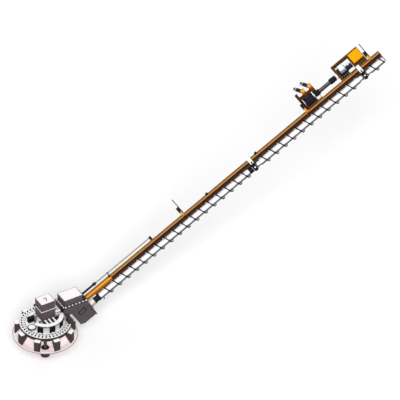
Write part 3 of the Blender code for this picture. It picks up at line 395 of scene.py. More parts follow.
class Form:
    """Closed solids gathered in one local frame, to become one piece on a body."""

    def __init__(self, place, body="turret"):
        self.place = place
        self.body = body
        self.bm = bmesh.new()

    def stack(self, loops, ring=False, turn=None):
        """Skin a row of like loops of points; a ring joins its last loop to its first."""
        made = [[self.bm.verts.new(turn @ Vector(p) if turn else p) for p in loop] for loop in loops]
        count = len(made)
        for i in range(count if ring else count - 1):
            near, far = made[i], made[(i + 1) % count]
            for k in range(len(near)):
                m = (k + 1) % len(near)
                self.bm.faces.new((near[k], near[m], far[m], far[k]))
        if not ring:
            self.bm.faces.new(made[0])
            self.bm.faces.new(made[-1])
        return self

    def box(self, low, high, turn=None):
        """A block between two corners."""
        (x0, y0, z0), (x1, y1, z1) = low, high
        flat = ((x0, y0), (x1, y0), (x1, y1), (x0, y1))
        return self.stack([[(x, y, z) for x, y in flat] for z in (z0, z1)], turn=turn)

    def slab(self, station, half, low, high):
        """A block centred on a station along x, between two corners in y and z."""
        return self.box((station - half, *low), (station + half, *high))

    def prism(self, outline, plane, start, end, turn=None):
        """An outline in the xz, yz or xy plane, extruded between two stations."""
        def point(u, v, depth):
            return {"xz": (u, depth, v), "yz": (depth, u, v), "xy": (u, v, depth)}[plane]
        return self.stack([[point(u, v, d) for u, v in outline] for d in (start, end)], turn=turn)

    def lathe(self, profile, axis="z", centre=(0.0, 0.0, 0.0), segments=48, ring=False, turn=None):
        """A profile of (height, radius) turned about an axis."""
        base = Matrix.Translation(centre)
        if axis == "x":
            base = base @ Matrix.Rotation(pi / 2.0, 4, "Y")
        elif axis == "y":
            base = base @ Matrix.Rotation(-pi / 2.0, 4, "X")
        if turn is not None:
            base = turn @ base
        angles = [2.0 * pi * k / segments for k in range(segments)]
        loops = [[(r * cos(a), r * sin(a), height) for a in angles] for height, r in profile]
        return self.stack(loops, ring=ring, turn=base)

    def collar(self, start, end, inner, outer, cut=0.0, **lathe):
        """A plain ring, with its outer corners cut where a cut is given."""
        profile = [(start, inner), (start, outer), (end, outer), (end, inner)]
        if cut:
            corners = [(start, outer - cut), (start + cut, outer), (end - cut, outer), (end, outer - cut)]
            profile[1:3] = corners
        return self.lathe(profile, ring=True, **lathe)

    def tube(self, points, radius, segments=12):
        """A round bar or pipe along a path."""
        path = [Vector(p) for p in points]
        angles = [2.0 * pi * k / segments for k in range(segments)]
        loops = []
        side = None
        for i, point in enumerate(path):
            ahead = path[min(i + 1, len(path) - 1)] - path[max(i - 1, 0)]
            ahead.normalize()
            if side is None:
                side = ahead.orthogonal().normalized()
            side = (side - ahead * side.dot(ahead)).normalized()
            other = ahead.cross(side)
            loops.append([point + (side * cos(a) + other * sin(a)) * radius for a in angles])
        return self.stack(loops)

    def bolt(self, point, direction, across, height, washer=True):
        """A hexagon head, so wide across its flats and so high, on its washer."""
        at = direction_frame(point, direction)
        if washer:
            self.lathe(((0.0, across * 0.64), (0.002, across * 0.62)), segments=16, turn=at)
        crown = ((0.0, across * 0.577), (height * 0.8, across * 0.577), (height, across * 0.48))
        return self.lathe(crown, segments=6, turn=at)

    def bolt_rows(self, xs, ys, zs, direction, across, height, washer=True):
        """A bolt at every crossing of three lists of places."""
        for point in product(xs, ys, zs):
            self.bolt(point, direction, across, height, washer)
        return self

    def bolt_circle(self, centre, direction, radius, count, across, height, first=0.0, washer=True):
        """Bolts evenly round an axis along x or z, from a first angle in degrees."""
        for k in range(count):
            angle = radians(first + 360.0 * k / count)
            u, v = radius * cos(angle), radius * sin(angle)
            offset = (0.0, u, v) if direction[0] else (u, v, 0.0)
            self.bolt(Vector(centre) + Vector(offset), direction, across, height, washer)
        return self

    def piece(self, name, paint, *nodes, bevel=0.0, sharp=38.0, steps=2, slot=None):
        """Hand over the gathered solids as one named piece, in place of the nodes named."""
        bmesh.ops.recalc_face_normals(self.bm, faces=self.bm.faces)
        mesh = bpy.data.meshes.new(name)
        self.bm.to_mesh(mesh)
        self.bm.free()
        mesh.transform(self.place)
        mesh.materials.append(PAINT[paint])
        mesh.shade_smooth()
        mesh.set_sharp_from_angle(angle=radians(sharp))
        made = put(name, mesh)
        if bevel:
            edge = made.modifiers.new("rounded edges", "BEVEL")
            edge.width = bevel
            edge.segments = steps
            edge.limit_method = "ANGLE"
            edge.angle_limit = radians(30.0)
            edge.harden_normals = True
        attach(made, self.body)
        if nodes:
            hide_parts(*nodes)


# Hopper, legs and slewing ring

LEG_ANGLES = [24.0 + 40.0 * k for k in range(9)]
ROUND = 144
RING_TOP = 0.392
RING_BOLTS = 40
RING_BOLT_START = 8.6


def hopper():
    """The cone with its rim band and weld seams, and the outlet pipe below it."""
    rim_r, wall_r, throat_r = 0.8665, 0.786, 0.118
    wall_slope = 0.718
    shell = Form(HUB, "hub").lathe(
        ((0.010, 0.800), (0.010, rim_r), (0.0, rim_r), (0.0, 0.806), (-0.012, 0.792),
         (-0.494, throat_r), (-0.4945, 0.112), (-0.490, 0.112), (-0.006, wall_r)),
        segments=ROUND, ring=True)
    shell.piece("hopper_shell", "hopper white", "hopper_cone", sharp=25.0)
    band = Form(HUB, "hub").lathe(
        ((0.0, 0.867), (0.0, 0.876), (0.002, 0.878), (0.010, 0.878), (0.0125, 0.876), (0.0125, 0.867)),
        segments=ROUND, ring=True)
    band.piece("rim_band", "rim grey", sharp=25.0)
    seams = Form(HUB, "hub")
    for degrees in (4.0, 124.0, 244.0):
        turn = about_z(degrees)
        line = [(r, 0.0, (r - wall_r) * wall_slope - 0.004) for r in spaced(0.14, 0.775, 12)]
        seams.tube([turn @ Vector(point) for point in line], 0.004, 8)
    seams.piece("cone_seams", "hopper white")
    bore_r, lip_r, foot = 0.1105, 0.124, -0.755
    spout = Form(HUB, "hub").lathe(
        ((-0.4983, bore_r), (-0.4983, throat_r), (-0.720, throat_r), (-0.724, lip_r), (-0.742, lip_r),
         (-0.746, throat_r), (foot, throat_r), (foot, bore_r)),
        segments=64, ring=True)
    spout.piece("outlet_pipe", "leg grey", "outlet_spout", sharp=30.0)


def legs():
    """Nine folded legs with pale caps, on the hopper's rim."""
    foot, knee = 0.0103, 0.190
    top, under = 0.331, 0.323
    half, inside = 0.082, 0.072
    cheek = ((0.820, foot), (0.785, foot), (0.640, knee), (0.640, 0.3045), (0.6945, 0.3045),
             (0.6945, under), (0.820, under))
    web = ((0.787, foot), (0.642, knee), (0.642, 0.286), (0.652, 0.286), (0.652, 0.194), (0.797, foot))
    body, caps, bolts = (Form(HUB, "hub") for _ in range(3))
    body.collar(0.2847, 0.3047, 0.620, 0.690, segments=96)
    for degrees in LEG_ANGLES:
        turn = about_z(degrees)
        for side in (-1, 1):
            body.prism(cheek, "xz", side * half, side * (half - 0.012), turn=turn)
            bolts.bolt(turn @ Vector((0.715, side * 0.052, top)), UPWARD, 0.014, 0.008)
        body.box((0.802, -inside, foot), (0.816, inside, under), turn=turn)
        body.box((0.695, -inside, 0.262), (0.802, inside, 0.274), turn=turn)
        body.prism(web, "xz", -inside, inside, turn=turn)
        body.box((0.760, -0.010, foot + 0.02), (0.804, 0.010, 0.265), turn=turn)
        caps.box((0.6955, -half - 0.004, under), (0.824, half + 0.004, top), turn=turn)
    body.piece("leg_plates", "leg grey", "leg_frame", bevel=0.0025)
    caps.piece("leg_caps", "plate white", bevel=0.002)
    bolts.piece("leg_bolts", "bolt bright")


def slewing_ring():
    """The two races and the bolts that hold them."""
    low, top, step = 0.305, RING_TOP, 0.690
    outer = Form(HUB, "hub").lathe(
        ((low, 0.542), (low, step), (0.309, 0.694), (0.3625, 0.694), (0.3645, step), (0.3685, step),
         (0.3705, 0.694), (0.388, 0.694), (top, step), (top, 0.602), (0.3895, 0.600), (0.3895, 0.596),
         (top, 0.594), (top, 0.5425), (0.389, 0.5405), (0.308, 0.5405)),
        segments=ROUND, ring=True)
    outer.piece("race_outer", "ring white", "slewing_ring_outer", sharp=25.0)
    for name, paint, radius, across, height in (
        ("ring_bolts_outer", "bolt black", 0.641, 0.039, 0.022),
        ("ring_bolts_inner", "bolt dark", 0.5685, 0.022, 0.013),
    ):
        bolts = Form(HUB, "hub")
        bolts.bolt_circle((0.0, 0.0, top), UPWARD, radius, RING_BOLTS, across, height, RING_BOLT_START)
        bolts.piece(name, paint)
    inner = Form(HUB).lathe(
        ((low, 0.462), (low, 0.5385), (0.382, 0.5385), (0.385, 0.536), (0.385, 0.463), (0.382, 0.460),
         (0.308, 0.460)),
        segments=ROUND, ring=True)
    inner.piece("race_inner", "ring white", "slewing_ring_inner", sharp=25.0)


# Turret

DECK = 0.640
CAGE_ARC = (203.0, 445.0)
POST_ANGLES = LEG_ANGLES[5:] + LEG_ANGLES[:2]
BOX_HALF_X, BOX_HALF_Y = 0.210, 0.180


def cage():
    """The upper arc on its six posts, the foot plate, the deck bars and the round cover."""
    foot = 0.3993
    white = Form(HUB)
    section = ((0.379, 0.620), (0.379, 0.638), (0.381, DECK), (0.498, DECK), (0.500, 0.638), (0.500, 0.620))
    white.stack([[about_z(degrees) @ Vector((r, 0.0, z)) for r, z in section]
                 for degrees in spaced(*CAGE_ARC, 82)])
    white.collar(0.3853, foot, 0.252, 0.535, cut=0.002, segments=120)
    for side in (-1, 1):
        white.box((-0.260, side * 0.100, 0.580), (0.419, side * 0.150, 0.639))
        white.box((-0.259, side * 0.101, foot), (-0.210, side * 0.149, 0.582))
    for x in (-0.114, 0.0, 0.125):
        white.slab(x, 0.027, (-0.409, 0.582), (-0.115, 0.636))
    white.piece("cage_plates", "plate white", "turret_cage", sharp=25.0)
    black = Form(HUB).box((-0.200, -0.385, 0.573), (0.300, -0.152, 0.5805))
    bolts = Form(HUB)
    for degrees in POST_ANGLES:
        turn = about_z(degrees)
        black.box((0.466, -0.034, 0.399), (0.476, 0.034, 0.6205), turn=turn)
        for side in (-1, 1):
            y = side * 0.055
            black.box((0.464, y - 0.023, 0.399), (0.496, y + 0.023, 0.6205), turn=turn)
            bolts.bolt(turn @ Vector((0.514, y, foot)), UPWARD, 0.018, 0.010)
            bolts.bolt(turn @ Vector((0.440, side * 0.100, DECK)), UPWARD, 0.022, 0.012)
    black.piece("cage_posts", "black iron", bevel=0.002)
    bolts.piece("cage_bolts", "bolt bright")
    middle = (-0.448, -0.063, 0.0)
    rise = ((0.3995, 0.055), (0.424, 0.055), (0.424, 0.100), (0.449, 0.100), (0.453, 0.096))
    Form(HUB).lathe(rise, centre=middle).piece("round_lid", "plate white", sharp=30.0)
    band = Form(HUB).collar(0.424, 0.451, 0.1005, 0.120, cut=0.002, centre=middle)
    band.piece("round_lid_band", "black iron", sharp=30.0)


def centre_box():
    """The square box over the slewing axis, the pipe below it and the ribbed unit beside it."""
    seam = 0.946

    def block(margin, low, high):
        """A block as wide as the box and a margin on every side."""
        x, y = BOX_HALF_X + margin, BOX_HALF_Y + margin
        return Form(HUB).box((-x, -y, low), (x, y, high))

    base = block(0.0, DECK + GAP, 0.9308)
    for side in (-1, 1):
        base.box((-0.205, side * BOX_HALF_Y, 0.645), (0.205, side * (BOX_HALF_Y + 0.008), 0.660))
    base.piece("centre_base", "case grey", "centre_box_lower", bevel=0.004)
    block(0.0, 0.943, 1.178).piece("centre_cover", "case grey", "centre_box_upper", bevel=0.004)
    block(0.015, 0.9313, seam).piece("centre_flange", "seam white", bevel=0.002)
    block(0.004, 1.176, 1.186).piece("centre_lid", "lid white", bevel=0.003)
    trim = Form(HUB)
    trim.tube([(-0.030, 0.030, 1.184), (-0.026, 0.031, 1.206), (0.012, 0.032, 1.212), (0.028, 0.000, 1.212),
               (0.014, -0.045, 1.212), (-0.005, -0.080, 1.206), (-0.006, -0.084, 1.184)], 0.009)
    trim.box((-0.252, 0.148, 0.922), (-0.208, 0.196, 0.968))
    trim.box((0.208, 0.148, 0.922), (0.244, 0.196, 0.968))
    trim.piece("lid_handle_and_lugs", "black iron", bevel=0.002)
    hinges = Form(HUB)
    for z in (0.905, 1.006):
        hinges.box((0.166, -0.194, z - 0.022), (0.200, -BOX_HALF_Y, z + 0.022))
        hinges.lathe(((z - 0.026, 0.008), (z + 0.026, 0.008)), centre=(0.203, -0.188, 0.0), segments=12)
    hinges.piece("centre_hinges", "plate white", bevel=0.001)
    bolts = Form(HUB)
    edge_x, edge_y = BOX_HALF_X + 0.0075, BOX_HALF_Y + 0.0075
    bolts.bolt_rows(spaced(-0.195, 0.195, 7), (-edge_y, edge_y), (seam,), UPWARD, 0.013, 0.010)
    bolts.bolt_rows((-edge_x, edge_x), spaced(-0.150, 0.150, 5), (seam,), UPWARD, 0.013, 0.010)
    bolts.piece("centre_bolts", "bolt dark")
    pipe = Form(HUB).lathe(((-0.700, 0.041), (-0.696, 0.045), (0.639, 0.045)), segments=40)
    pipe.piece("centre_tube", "case grey", "centre_pipe", sharp=30.0)
    unit = Form(HUB).box((-0.415, 0.160, 0.3997), (-0.177, 0.257, 0.545))
    for x in spaced(-0.409, -0.183, 8):
        unit.slab(x, 0.006, (0.154, 0.405), (0.263, 0.550))
    unit.box((-0.421, 0.170, 0.410), (-0.414, 0.247, 0.535))
    unit.piece("ribbed_unit", "black iron", "side_box", bevel=0.002)


def boom_point(along, square):
    """Hub x and z of a point in the boom's upright plane."""
    return (BOOM_ROOT[0] + along * cos(INCLINE) - square * sin(INCLINE),
            BOOM_ROOT[1] + along * sin(INCLINE) + square * cos(INCLINE))


def gear_case():
    """The gear case at the boom's foot, its cover, bolted flange, link tube and ring drive."""
    half, floor, split = 0.235, 0.065, 0.820
    back, seam = 0.450, 0.835
    top = boom_point(-0.0203, 0.319)
    bottom = boom_point(-0.0203, -0.190)
    run = (bottom[1] - floor) * cos(INCLINE) / sin(INCLINE)
    outline = ((back, split), (1.190, split), top, bottom, (bottom[0] - run, floor), (0.975, floor),
               (0.838, 0.370), (0.700, 0.551), (0.505, 0.551), (0.505, DECK + GAP), (back, DECK + GAP))
    case = Form(HUB).prism(outline, "xz", -half, half)
    case.piece("gear_case", "case grey", "drive_case", bevel=0.005)
    cover = Form(HUB).box((0.487, -0.195, 0.834), (1.047, 0.195, 1.040))
    cover.piece("case_cover", "case grey", "drive_cover", bevel=0.004)
    flange = Form(HUB).box((0.435, -0.250, split + GAP), (1.190, 0.250, seam))
    flange.piece("case_flange", "flange dark", bevel=0.003)
    lid = Form(HUB).box((0.483, -0.199, 1.038), (1.051, 0.199, 1.048))
    lid.piece("case_lid", "lid white", bevel=0.003)
    clamps = [(x, y, 0.027, 0.017) for x in spaced(0.510, 1.140, 7) for y in (-0.2245, 0.2245)]
    clamps += [(0.461, y, 0.017, 0.025) for y in spaced(-0.185, 0.185, 5)]
    bolts = Form(HUB)
    for x, y, half_x, half_y in clamps:
        bolts.box((x - half_x, y - half_y, seam), (x + half_x, y + half_y, seam + 0.008))
        bolts.bolt((x, y, seam + 0.008), UPWARD, 0.028, 0.014)
    bolts.piece("case_bolts", "bolt bright")
    screws = Form(HUB)
    for x, y in product(spaced(0.505, 1.029, 7), (-0.182, 0.182)):
        screws.lathe(((1.0475, 0.009), (1.0495, 0.0085), (1.0495, 0.004)), centre=(x, y, 0.0), segments=12)
    screws.piece("lid_screws", "plate white")
    on_link = dict(axis="x", centre=(0.0, -0.120, 0.730), segments=40)
    link = Form(HUB).lathe(
        ((0.2103, 0.062), (0.222, 0.062), (0.224, 0.050), (0.300, 0.050), (0.302, 0.054), (0.314, 0.054),
         (0.316, 0.050), (0.4175, 0.050)), **on_link)
    link.piece("link_tube", "cream paint", "link_shaft_guard", sharp=30.0)
    collar = Form(HUB).lathe(
        ((0.376, 0.0505), (0.376, 0.064), (0.412, 0.068), (0.4177, 0.077), (0.4207, 0.080),
         (0.4497, 0.080), (0.4497, 0.0505)), ring=True, **on_link)
    collar.piece("link_collar", "black iron", sharp=30.0)
    face = -half - GAP
    block = Form(HUB).box((0.500, -0.420, 0.402), (0.640, face, 0.500))
    block.box((0.520, -0.255, 0.450), (0.620, face, 0.600))
    block.box((0.512, -0.412, 0.498), (0.628, -0.262, 0.508))
    block.lathe(((0.640, 0.034), (0.652, 0.032), (0.652, 0.012)), axis="x",
                centre=(0.0, -0.33, 0.450), segments=28)
    block.piece("ring_drive", "leg grey", "ring_roller_block", bevel=0.004, slot="black_iron")


def case_trim():
    """The hatch, the output flange, and the neck round the screw's end."""
    near, far = -0.387, -0.160
    low, high = 0.170, 0.322
    face, bar = -0.2353, 0.016
    panel = Form(BOOM).box((near + 0.015, face - 0.0065, low + 0.015), (far - 0.015, face, high - 0.015))
    panel.piece("hatch_panel", "case grey", "case_hatch", bevel=0.002)
    hatch = Form(BOOM)
    for x0, z0, x1, z1 in (
        (near, low, near + bar, high),
        (far - bar, low, far, high),
        (near + 0.014, low, far - 0.014, low + bar),
        (near + 0.014, high - bar, far - 0.014, high),
    ):
        hatch.box((x0, face - 0.0077, z0), (x1, face, z1))
    hatch.piece("hatch_frame", "black iron", bevel=0.001)
    door_bolts = Form(BOOM)
    columns = spaced(near + bar / 2.0, far - bar / 2.0, 3)
    rows = (low + bar / 2.0, high - bar / 2.0)
    door_bolts.bolt_rows(columns, (face - 0.0077,), rows, FRONTWARD, 0.011, 0.006, washer=False)
    for x, z in ((-0.085, 0.262), (-0.110, 0.215), (-0.060, 0.060), (-0.060, -0.120)):
        door_bolts.bolt((x, face, z), FRONTWARD, 0.022, 0.012)
    door_bolts.piece("door_bolts", "bolt dark")
    plate = Form(BOOM).box((-0.020, -0.250, -0.210), (0.0, 0.250, 0.315))
    plate.piece("output_flange", "flange tan edge", "output_plate", bevel=0.003)
    bolts = Form(BOOM)
    bolts.bolt_rows((0.0,), (-0.229, 0.229), spaced(-0.180, 0.290, 7), OUTWARD, 0.024, 0.014)
    bolts.bolt_rows((0.0,), spaced(-0.150, 0.150, 4), (0.292,), OUTWARD, 0.024, 0.014)
    bolts.piece("output_bolts", "bolt dark")
    bore = 0.0415
    neck = Form(BOOM).lathe(
        ((GAP, bore), (GAP, 0.133), (0.002, 0.135), (0.020, 0.135), (0.022, 0.133), (0.022, 0.114),
         (0.030, 0.109), (0.105, 0.096), (0.118, 0.094), (0.158, 0.094), (0.160, 0.092), (0.160, bore)),
        axis="x", segments=56, ring=True)
    neck.piece("root_neck", "cream paint", "bearing_neck", sharp=28.0)
    neck_bolts = Form(BOOM)
    neck_bolts.bolt_circle((0.022, 0.0, 0.0), OUTWARD, 0.123, 8, 0.015, 0.010, first=22.5)
    neck_bolts.piece("neck_bolts", "bolt dark")


# Screw

HANGERS = (5.765, 9.604)
TUBE_R = 0.0905
NECK_R = 0.070
JOURNAL_R = 0.033
STUB_R = 0.040
SCREW_END = 10.262
FLIGHT_R = 0.137
PITCH = 0.300
STEPS_PER_TURN = 40
FLIGHT_PHASE = 106.6
FLIGHTS = ((0.400, 5.530, 0.0), (6.000, 9.370, -108.5), (9.840, 10.242, 12.0))


def screw():
    """The tube with its coupling, sleeve and collars, and the flights welded round it."""
    corner_r = TUBE_R - 0.003
    profile = [(0.002, STUB_R), (0.356, STUB_R), (0.356, corner_r), (0.359, TUBE_R)]
    joint = ((0.198, TUBE_R), (0.195, corner_r), (0.195, NECK_R), (0.065, NECK_R), (0.065, JOURNAL_R))
    for station in HANGERS:
        profile += mirrored(joint, station)
    profile += [(SCREW_END - 0.003, TUBE_R), (SCREW_END, corner_r), (SCREW_END, JOURNAL_R),
                (SCREW_END + 0.036, JOURNAL_R)]
    tube = Form(BOOM, "screw").lathe(profile, axis="x")
    tube.piece("screw_tube", "screw steel", "screw_shaft", sharp=30.0)
    coupling = Form(BOOM, "screw").lathe(
        ((0.166, 0.0405), (0.166, 0.092), (0.169, 0.095), (0.196, 0.095), (0.199, 0.082), (0.318, 0.082),
         (0.321, 0.095), (0.351, 0.095), (0.354, 0.092), (0.354, 0.0405)),
        axis="x", ring=True)
    for x, way in ((0.196, 1), (0.321, -1)):
        coupling.bolt_circle((x, 0.0, 0.0), (way, 0, 0), 0.086, 6, 0.014, 0.010, washer=False)
    coupling.piece("drive_coupling", "black iron", "screw_coupling", sharp=30.0)
    near, far = HANGERS[0] - 0.194, HANGERS[0] - 0.090
    core_r, groove_r, rib_r = 0.060, TUBE_R - 0.006, TUBE_R - 0.001
    ribbed = [(near, core_r), (near, groove_r)]
    for x in spaced(near + 0.016, far - 0.016, 4):
        ribbed += mirrored(((0.008, groove_r), (0.005, rib_r)), x)
    ribbed += [(far, groove_r), (far, core_r)]
    sleeve = Form(BOOM, "screw").lathe(ribbed, axis="x")
    sleeve.piece("splice_sleeve", "machine black", sharp=30.0)
    collars = Form(BOOM, "screw")
    for station, way in product(HANGERS, (-1, 1)):
        near, far = station + way * 0.069, station + way * 0.087
        collars.collar(near, far, NECK_R + GAP, 0.090, axis="x", segments=40)
        collars.bolt_circle((far, 0.0, 0.0), (way, 0, 0), 0.080, 6, 0.014, 0.010, first=30.0, washer=False)
    collars.piece("screw_collars", "black iron", sharp=30.0)
    for number, (start, end, phase) in enumerate(FLIGHTS, start=1):
        flight(number, start, end, phase)


def flight(number, start, end, phase):
    """A right-handed flight, its hard-faced rim and the weld bead along the tube."""
    steps = ceil((end - start) / PITCH * STEPS_PER_TURN)
    turns = []
    for along in spaced(start, end, steps + 1):
        angle = radians(FLIGHT_PHASE + phase) + 2.0 * pi * along / PITCH
        turns.append((along, Vector((0.0, cos(angle), sin(angle)))))
    blade = mirrored(((0.004, TUBE_R - 0.001), (0.0035, FLIGHT_R - 0.002)))
    rim = mirrored(((0.008, FLIGHT_R - 0.020), (0.0175, FLIGHT_R - 0.003), (0.015, FLIGHT_R)))
    for name, paint, section, nodes in (
        (f"flight_{number}", "flight steel", blade, (f"screw_flight_{number}",)),
        (f"flight_rim_{number}", "rim steel", rim, ()),
    ):
        loops = [[Vector((along + x, 0.0, 0.0)) + out * r for x, r in section] for along, out in turns]
        Form(BOOM, "screw").stack(loops).piece(name, paint, *nodes, sharp=40.0)
    root = [Vector((along, 0.0, 0.0)) + out * (TUBE_R + 0.001) for along, out in turns]
    Form(BOOM, "screw").tube(root, 0.005, 6).piece(f"flight_weld_{number}", "rim steel")


# Boom

ROOT_END = 0.925
SPLICE = HANGERS[0]
BEAM_FRONT, BEAM_BACK = 0.050, 0.135
BEAM_LOW, BEAM_TOP = 0.160, 0.245
DUCT_TOP = 0.2523
SENSORS = (3.465, 7.795, 9.985)
DUCT_BOXES = (4.306, 6.015)


def beam():
    """The beam, its deeper root, the closing plate and the end bearing."""
    root = Form(BOOM).box((0.012, 0.019, 0.150), (0.915, BEAM_BACK, BEAM_TOP))
    root.box((GAP, 0.004, 0.135), (0.012, 0.150, 0.260))
    root.piece("root_beam", "root amber", "beam_root", bevel=0.006, steps=3)
    plate = Form(BOOM).box((0.913, 0.016, 0.147), (ROOT_END, 0.138, BEAM_TOP))
    plate.piece("root_plate", "frame brown", bevel=0.002)
    clip = Form(BOOM).slab(0.890, 0.028, (0.074, 0.2455), (0.142, 0.272))
    clip.lathe(((0.272, 0.022), (0.280, 0.020)), centre=(0.890, 0.108, 0.0), segments=20)
    clip.piece("root_clip", "black iron", bevel=0.003)
    for name, node, start, end in (
        ("inner_beam", "beam_inner", ROOT_END + GAP, SPLICE),
        ("outer_beam", "beam_outer", SPLICE + GAP, BOOM_END),
    ):
        bar = Form(BOOM).box((start, BEAM_FRONT, BEAM_LOW), (end, BEAM_BACK, BEAM_TOP))
        bar.piece(name, "beam orange", node, bevel=0.003, steps=3)
    bolts = Form(BOOM)
    bolts.bolt_rows((0.012,), (0.030, 0.080, 0.130), (0.1435, 0.2525), OUTWARD, 0.012, 0.008, washer=False)
    bolts.bolt_rows((5.66, 5.71, 5.82, 5.87), (BEAM_FRONT,), (0.180, 0.225), FRONTWARD, 0.014, 0.008)
    bolts.piece("beam_bolts", "bolt dark")
    start = BOOM_END + GAP
    corners = ((BEAM_FRONT, BEAM_TOP), (-0.070, 0.040), (-0.070, -0.045), (-0.040, -0.080),
               (0.060, -0.080), (BEAM_BACK, 0.060), (BEAM_BACK, BEAM_TOP))
    plate = Form(BOOM).prism(corners, "yz", start, start + 0.010)
    plate.piece("boom_end_plate", "end grey", "end_plate", bevel=0.002)
    face = start - 0.0002
    rise = ((start - 0.004, 0.052), (start - 0.002, 0.060), (face, 0.060), (face, 0.036))
    bearing = Form(BOOM).lathe(rise, axis="x", segments=32)
    bearing.piece("end_bearing", "cream paint", sharp=30.0)


def boards():
    """The folded boards behind the screw and the ribs that hold them to the beam."""
    head_y, back_y = 0.078, 0.160
    bend, foot = 0.010, -0.110
    thick, lip = 0.005, 0.020
    under = BEAM_LOW - GAP
    lean = (back_y - head_y) / (under - bend)
    for name, node, start, end, top in (
        ("root_board", "board_root", 0.300, ROOT_END, 0.150 - GAP),
        ("inner_board", "board_inner", ROOT_END + GAP, SPLICE, under),
        ("outer_board", "board_outer", SPLICE + GAP, BOOM_END, under),
    ):
        top_y = back_y - (top - bend) * lean
        slope = thick / cos(atan2(back_y - top_y, top - bend))
        fold = ((top_y, top), (back_y, bend), (back_y, foot), (back_y + lip, foot),
                (back_y + lip, foot + thick), (back_y + thick, foot + thick), (back_y + thick, bend),
                (top_y + slope, top))
        Form(BOOM).prism(fold, "yz", start, end).piece(name, "board brown", node, bevel=0.001)
    ribs = Form(BOOM)
    near_y, far_y, head = 0.1655, 0.182, 0.159
    rib = ((near_y, -0.095), (near_y, bend), (0.086, head), (0.134, head), (far_y, bend), (far_y, -0.095))
    for x in spaced(1.40, 8.90, 7):
        ribs.prism(rib, "yz", x - 0.004, x + 0.004)
    for x, z in product(spaced(0.45, 9.95, 39), (-0.090, -0.010)):
        rivet = direction_frame((x, back_y, z), FRONTWARD)
        ribs.lathe(((0.0, 0.007), (0.003, 0.005)), segments=10, turn=rivet)
    ribs.piece("board_ribs", "frame brown")


def duct():
    """The cable duct along the beam and the conduit behind it, with their clips."""
    tray = Form(BOOM).box((0.012, 0.0915, BEAM_TOP + GAP), (BOOM_END, 0.1325, 0.2503))
    tray.box((0.012, 0.090, 0.2490), (BOOM_END, 0.143, 0.2520))
    tray.piece("duct_tray", "duct olive", "cable_duct", bevel=0.001)
    boxes = Form(BOOM)
    for x in DUCT_BOXES:
        boxes.slab(x, 0.036, (0.114, 0.258), (0.157, 0.287))
        boxes.slab(x, 0.040, (0.100, 0.247), (0.160, 0.262))
    boxes.piece("duct_boxes", "black iron", bevel=0.003)
    bands = Form(BOOM)
    for x in spaced(1.15, 9.40, 12):
        bands.slab(x, 0.010, (0.0893, 0.2455), (0.1347, 0.2532))
    bands.piece("duct_bands", "frame brown", bevel=0.001)
    on_pipe = dict(axis="x", centre=(0.0, 0.225, 0.272), segments=24)
    pipe = Form(BOOM).lathe(((0.500, 0.014), (2.360, 0.014)), **on_pipe)
    pipe.piece("conduit_pipe", "pipe brown", "conduit", sharp=30.0)
    ribbed = [(x, 0.030 if k % 2 else 0.0265) for k, x in enumerate(spaced(GAP, 0.4903, 48))]
    hose = Form(BOOM).lathe(ribbed + [(0.496, 0.027), (0.508, 0.016)], **on_pipe)
    hose.lathe(((0.396, 0.031), (0.400, 0.042), (0.484, 0.042), (0.488, 0.031)), **on_pipe)
    for x, half in ((0.905, 0.012), (2.393, 0.035)):
        hose.slab(x, half, (BEAM_BACK + GAP, 0.237), (0.247, 0.249))
        hose.slab(x, half, (0.236, 0.239), (0.247, 0.290))
        hose.slab(x, half, (0.205, 0.284), (0.247, 0.294))
    hose.piece("conduit_hose", "black iron", sharp=30.0)


def hangers():
    """The two hanger bearings below the beam, their top plates and bolts."""
    housing = mirrored(((0.054, 0.0345), (0.054, 0.104), (0.051, 0.107), (0.034, 0.107), (0.032, 0.122)))
    plate_top = 0.2645
    iron, plates, bolts, caps = (Form(BOOM) for _ in range(4))
    for x in HANGERS:
        middle = (x, 0.0, 0.0)
        iron.lathe(housing, axis="x", centre=middle, ring=True)
        iron.slab(x, 0.040, (-0.046, 0.085), (BEAM_FRONT - GAP, 0.254))
        iron.lathe(((-0.150, 0.017), (-0.146, 0.020), (-0.118, 0.020)), centre=middle, segments=20)
        iron.slab(x, 0.020, (-0.086, 0.2643), (-0.006, 0.272))
        plates.slab(x, 0.054, (-0.094, DUCT_TOP), (0.208, plate_top))
        plates.slab(x, 0.054, (BEAM_FRONT + GAP, BEAM_TOP + GAP), (0.086, 0.254))
        caps.lathe(((0.118, 0.026), (0.128, 0.024)), segments=24,
                   turn=direction_frame(middle, (0, -0.73, 0.68)))
        bolts.bolt_rows((x - 0.040, x + 0.040), (-0.078, 0.192), (plate_top,), UPWARD, 0.016, 0.010)
    iron.piece("hanger_bodies", "black iron", "hanger_1", "hanger_2", bevel=0.002)
    plates.piece("hanger_plates", "plate white", bevel=0.002)
    bolts.piece("hanger_bolts", "bolt bright")
    caps.piece("hanger_caps", "plate white", sharp=30.0)


